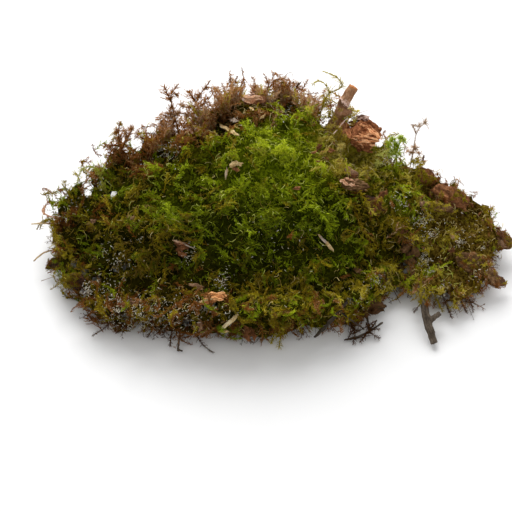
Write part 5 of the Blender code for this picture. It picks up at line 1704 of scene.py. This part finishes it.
# Rounded heads of tiny shoots: where each is on the picture and its height in mm, or 0 where it sits on
# what shows there, kind, how many shoots, their reach in mm, and how light
heads = [
    ((392, 140), 35.0, "bright", 34, 2.2, 0.85), ((400, 138), 35.8, "bright", 28, 1.9, 1.0),
    ((404, 141), 34.6, "bright", 20, 1.6, 0.9), ((388, 145), 32.6, "bright", 26, 2.0, 0.8),
    ((396, 146), 32.4, "bright", 24, 2.2, 0.5), ((391, 154), 30.0, "bright", 22, 2.4, 0.95),
    ((399, 154), 30.0, "bright", 20, 2.2, 0.9), ((381, 155), 32.5, "paleGreen", 14, 2.4, 1.3),
    ((387, 152), 32.5, "paleGreen", 10, 2.0, 1.4), ((378, 163), 29.5, "paleGreen", 18, 2.6, 1.2),
    ((425, 123), 45.0, "dry", 13, 2.6, 0.95), ((419, 126), 43.5, "dry", 9, 2.4, 0.85),
    ((414, 125), 43.5, "dry", 5, 1.8, 0.8), ((415, 148), 32.0, "old", 22, 2.2, 1.1),
    ((411, 153), 30.0, "old", 18, 2.2, 0.95), ((419, 153), 30.0, "old", 12, 1.8, 0.85),
    ((413, 162), 26.0, "olive", 20, 2.6, 0.6), ((120, 124), 37.0, "olive", 14, 1.6, 0.5),
    ((117, 132), 34.5, "old", 24, 2.2, 0.55), ((124, 131), 35.0, "old", 26, 2.4, 0.7),
    ((131, 129), 35.5, "old", 20, 2.0, 0.7), ((127, 138), 32.5, "old", 26, 2.4, 0.6),
    ((119, 140), 32.0, "old", 22, 2.2, 0.5), ((114, 150), 27.5, "old", 20, 2.4, 0.3),
    ((122, 152), 26.5, "old", 20, 2.4, 0.25), ((119, 161), 22.5, "old", 20, 2.4, 0.3),
    ((110, 147), 28.5, "old", 10, 1.6, 0.3), ((171, 108), 40.0, "old", 20, 2.4, 0.6),
    ((178, 113), 38.0, "old", 30, 3.0, 0.8), ((187, 115), 37.5, "old", 30, 3.0, 0.85),
    ((183, 106), 40.5, "old", 26, 2.6, 0.9), ((174, 122), 35.0, "old", 28, 2.8, 0.5),
    ((196, 112), 38.5, "old", 26, 2.8, 0.8), ((190, 107), 40.5, "old", 18, 2.2, 0.7),
    ((167, 117), 36.0, "old", 20, 2.4, 0.4), ((197, 119), 37.0, "old", 22, 2.6, 0.8),
    ((176, 95), 45.0, "old", 18, 2.2, 0.7), ((171, 116), 37.5, "old", 20, 2.4, 0.7),
    ((199, 96), 44.0, "old", 16, 2.2, 0.55), ((206, 88), 47.0, "old", 14, 1.8, 0.5),
    ((162, 124), 33.5, "old", 18, 2.2, 0.35), ((222, 100), 40.0, "old", 22, 2.6, 0.75),
    ((238, 90), 41.5, "olive", 20, 2.4, 0.7), ((256, 87), 42.5, "old", 20, 2.4, 0.6),
    ((268, 82), 44.0, "old", 20, 2.4, 0.8), ((282, 90), 42.0, "old", 22, 2.4, 0.8),
    ((296, 95), 41.0, "old", 22, 2.6, 0.9), ((309, 99), 39.5, "old", 20, 2.6, 0.95),
    ((314, 108), 37.5, "old", 18, 2.4, 0.8), ((330, 138), 32.5, "ochre", 18, 2.4, 0.6),
    ((337, 135), 34.0, "ochre", 18, 2.2, 0.7), ((345, 138), 34.5, "ochre", 18, 2.4, 0.6),
    ((325, 146), 30.0, "ochre", 16, 2.4, 0.6), ((328, 128), 37.0, "ochre", 16, 2.0, 0.6),
    ((333, 126), 37.5, "ochre", 16, 1.8, 0.7), ((338, 129), 37.0, "ochre", 16, 2.0, 0.6),
    ((331, 133), 35.5, "ochre", 16, 2.2, 0.5), ((418, 283), 0, "olive", 18, 2.4, 0.7),
    ((421, 290), 0, "olive", 18, 2.4, 0.6), ((424, 297), 0, "olive", 18, 2.4, 0.6),
    ((427, 304), 0, "old", 18, 2.2, 0.4), ((421, 303), 0, "olive", 16, 2.2, 0.5),
    ((344, 301), 0, "olive", 16, 2.2, 0.3), ((340, 307), 0, "root", 18, 2.2, 0.7),
    ((347, 296), 0, "olive", 16, 2.2, 0.4), ((372, 310), 0, "root", 18, 2.2, 0.6),
    ((364, 316), 0, "root", 18, 2.4, 0.6), ((222, 330), 0, "bright", 16, 1.6, 0.4),
    ((219, 327), 0, "bright", 14, 1.4, 0.3), ((490, 276), 0, "olive", 16, 1.8, 0.5),
    ((494, 277), 0, "olive", 14, 1.6, 0.5), ((466, 262), 0, "olive", 16, 1.8, 0.4),
    ((474, 268), 0, "old", 16, 1.8, 0.4), ((70, 258), 0, "olive", 16, 2.0, 0.5),
    ((64, 256), 0, "olive", 14, 1.8, 0.5), ((365, 297), 0, "olive", 16, 2.0, 0.5),
    ((378, 299), 0, "olive", 16, 2.0, 0.4), ((202, 113), 38.0, "olive", 16, 2.0, 1.0),
    ((330, 114), 41.0, "ochre", 12, 1.4, 0.3), ((335, 119), 40.0, "ochre", 12, 1.4, 0.4),
    ((368, 206), 0, "olive", 12, 1.4, 0.3), ((379, 212), 0, "olive", 14, 1.6, 0.3),
    ((52, 261), 0, "old", 12, 1.4, 0.1), ((455, 196), 0, "olive", 14, 1.6, 0.4),
    ((464, 200), 0, "olive", 14, 1.8, 0.5), ((444, 200), 0, "old", 12, 1.6, 0.3),
    ((426, 174), 0, "olive", 12, 1.4, 0.3), ((341, 147), 35.5, "ochre", 18, 2.4, 1.3),
    ((337, 152), 0, "ochre", 14, 2.6, 1.2),
]


headTube = {**mainTube, "rings": 3}
headLeaf = {**sideLeaf, "open": 1.1}


def makeHeads(camera):
    rng = np.random.default_rng(51)
    tree = treeOf(nodes)
    for number, (pixel, height, kind, count, reach, tint) in enumerate(heads):
        way = unit(rng.normal(0, 1, (count, 3)) + (0, -0.2, 0.5))
        hit = None if height else spotSeen(camera, tree, pixel)
        if not height and not hit:
            print("nothing at", pixel)
        foot = np.array(hit) if hit else spotAt(camera, pixel, height or 4)
        start = np.tile(foot, (count, 1))
        end = start + way * reach * mm * rng.uniform(0.6, 1.1, (count, 1))
        bend = (start + end) / 2 + rng.normal(0, 0.35, (count, 3)) * mm
        up = unit(np.cross(way, rng.normal(0, 1, (count, 3))))
        stems = stemSet(start, bend, end, up, np.full(count, 0.7), tint + rng.normal(0, 0.1, count), 0.2)
        parts = [growTubes(stems, headTube), growLeaves(stems, headLeaf, rng)]
        showLeafy(f"head{number + 1}", parts, kind)
    print("heads:", len(heads))


def main():
    camera = makeCamera()
    makeLight()
    makeFloor()
    print("camera, light and floor are in place")
    mossTree = treeOf(["moss_mat"])
    found = readPatches(camera, mossTree)
    makeThatch(camera, mossTree, found)
    openTree = treeOf([name for name in caughtPieces if name not in shoot["buried"]])
    makeShoots(camera, mossTree, openTree, found)
    makeStrands(camera, mossTree, openTree, found)
    makeFlecks(camera, mossTree)
    makeRootlets()
    makeFringe(camera, mossTree, openTree)
    makeCaughtPieces()
    makeRottenSlats(camera)
    makeCrumbs(camera, mossTree)
    makeSprigs()
    makeSprays(camera)
    makeHeads(camera)
    shown = [obj for obj in bpy.data.objects if obj.type == "MESH" and not obj.hide_render]
    print("triangles in all:", sum(len(face.vertices) - 2 for obj in shown for face in obj.data.polygons))


main()
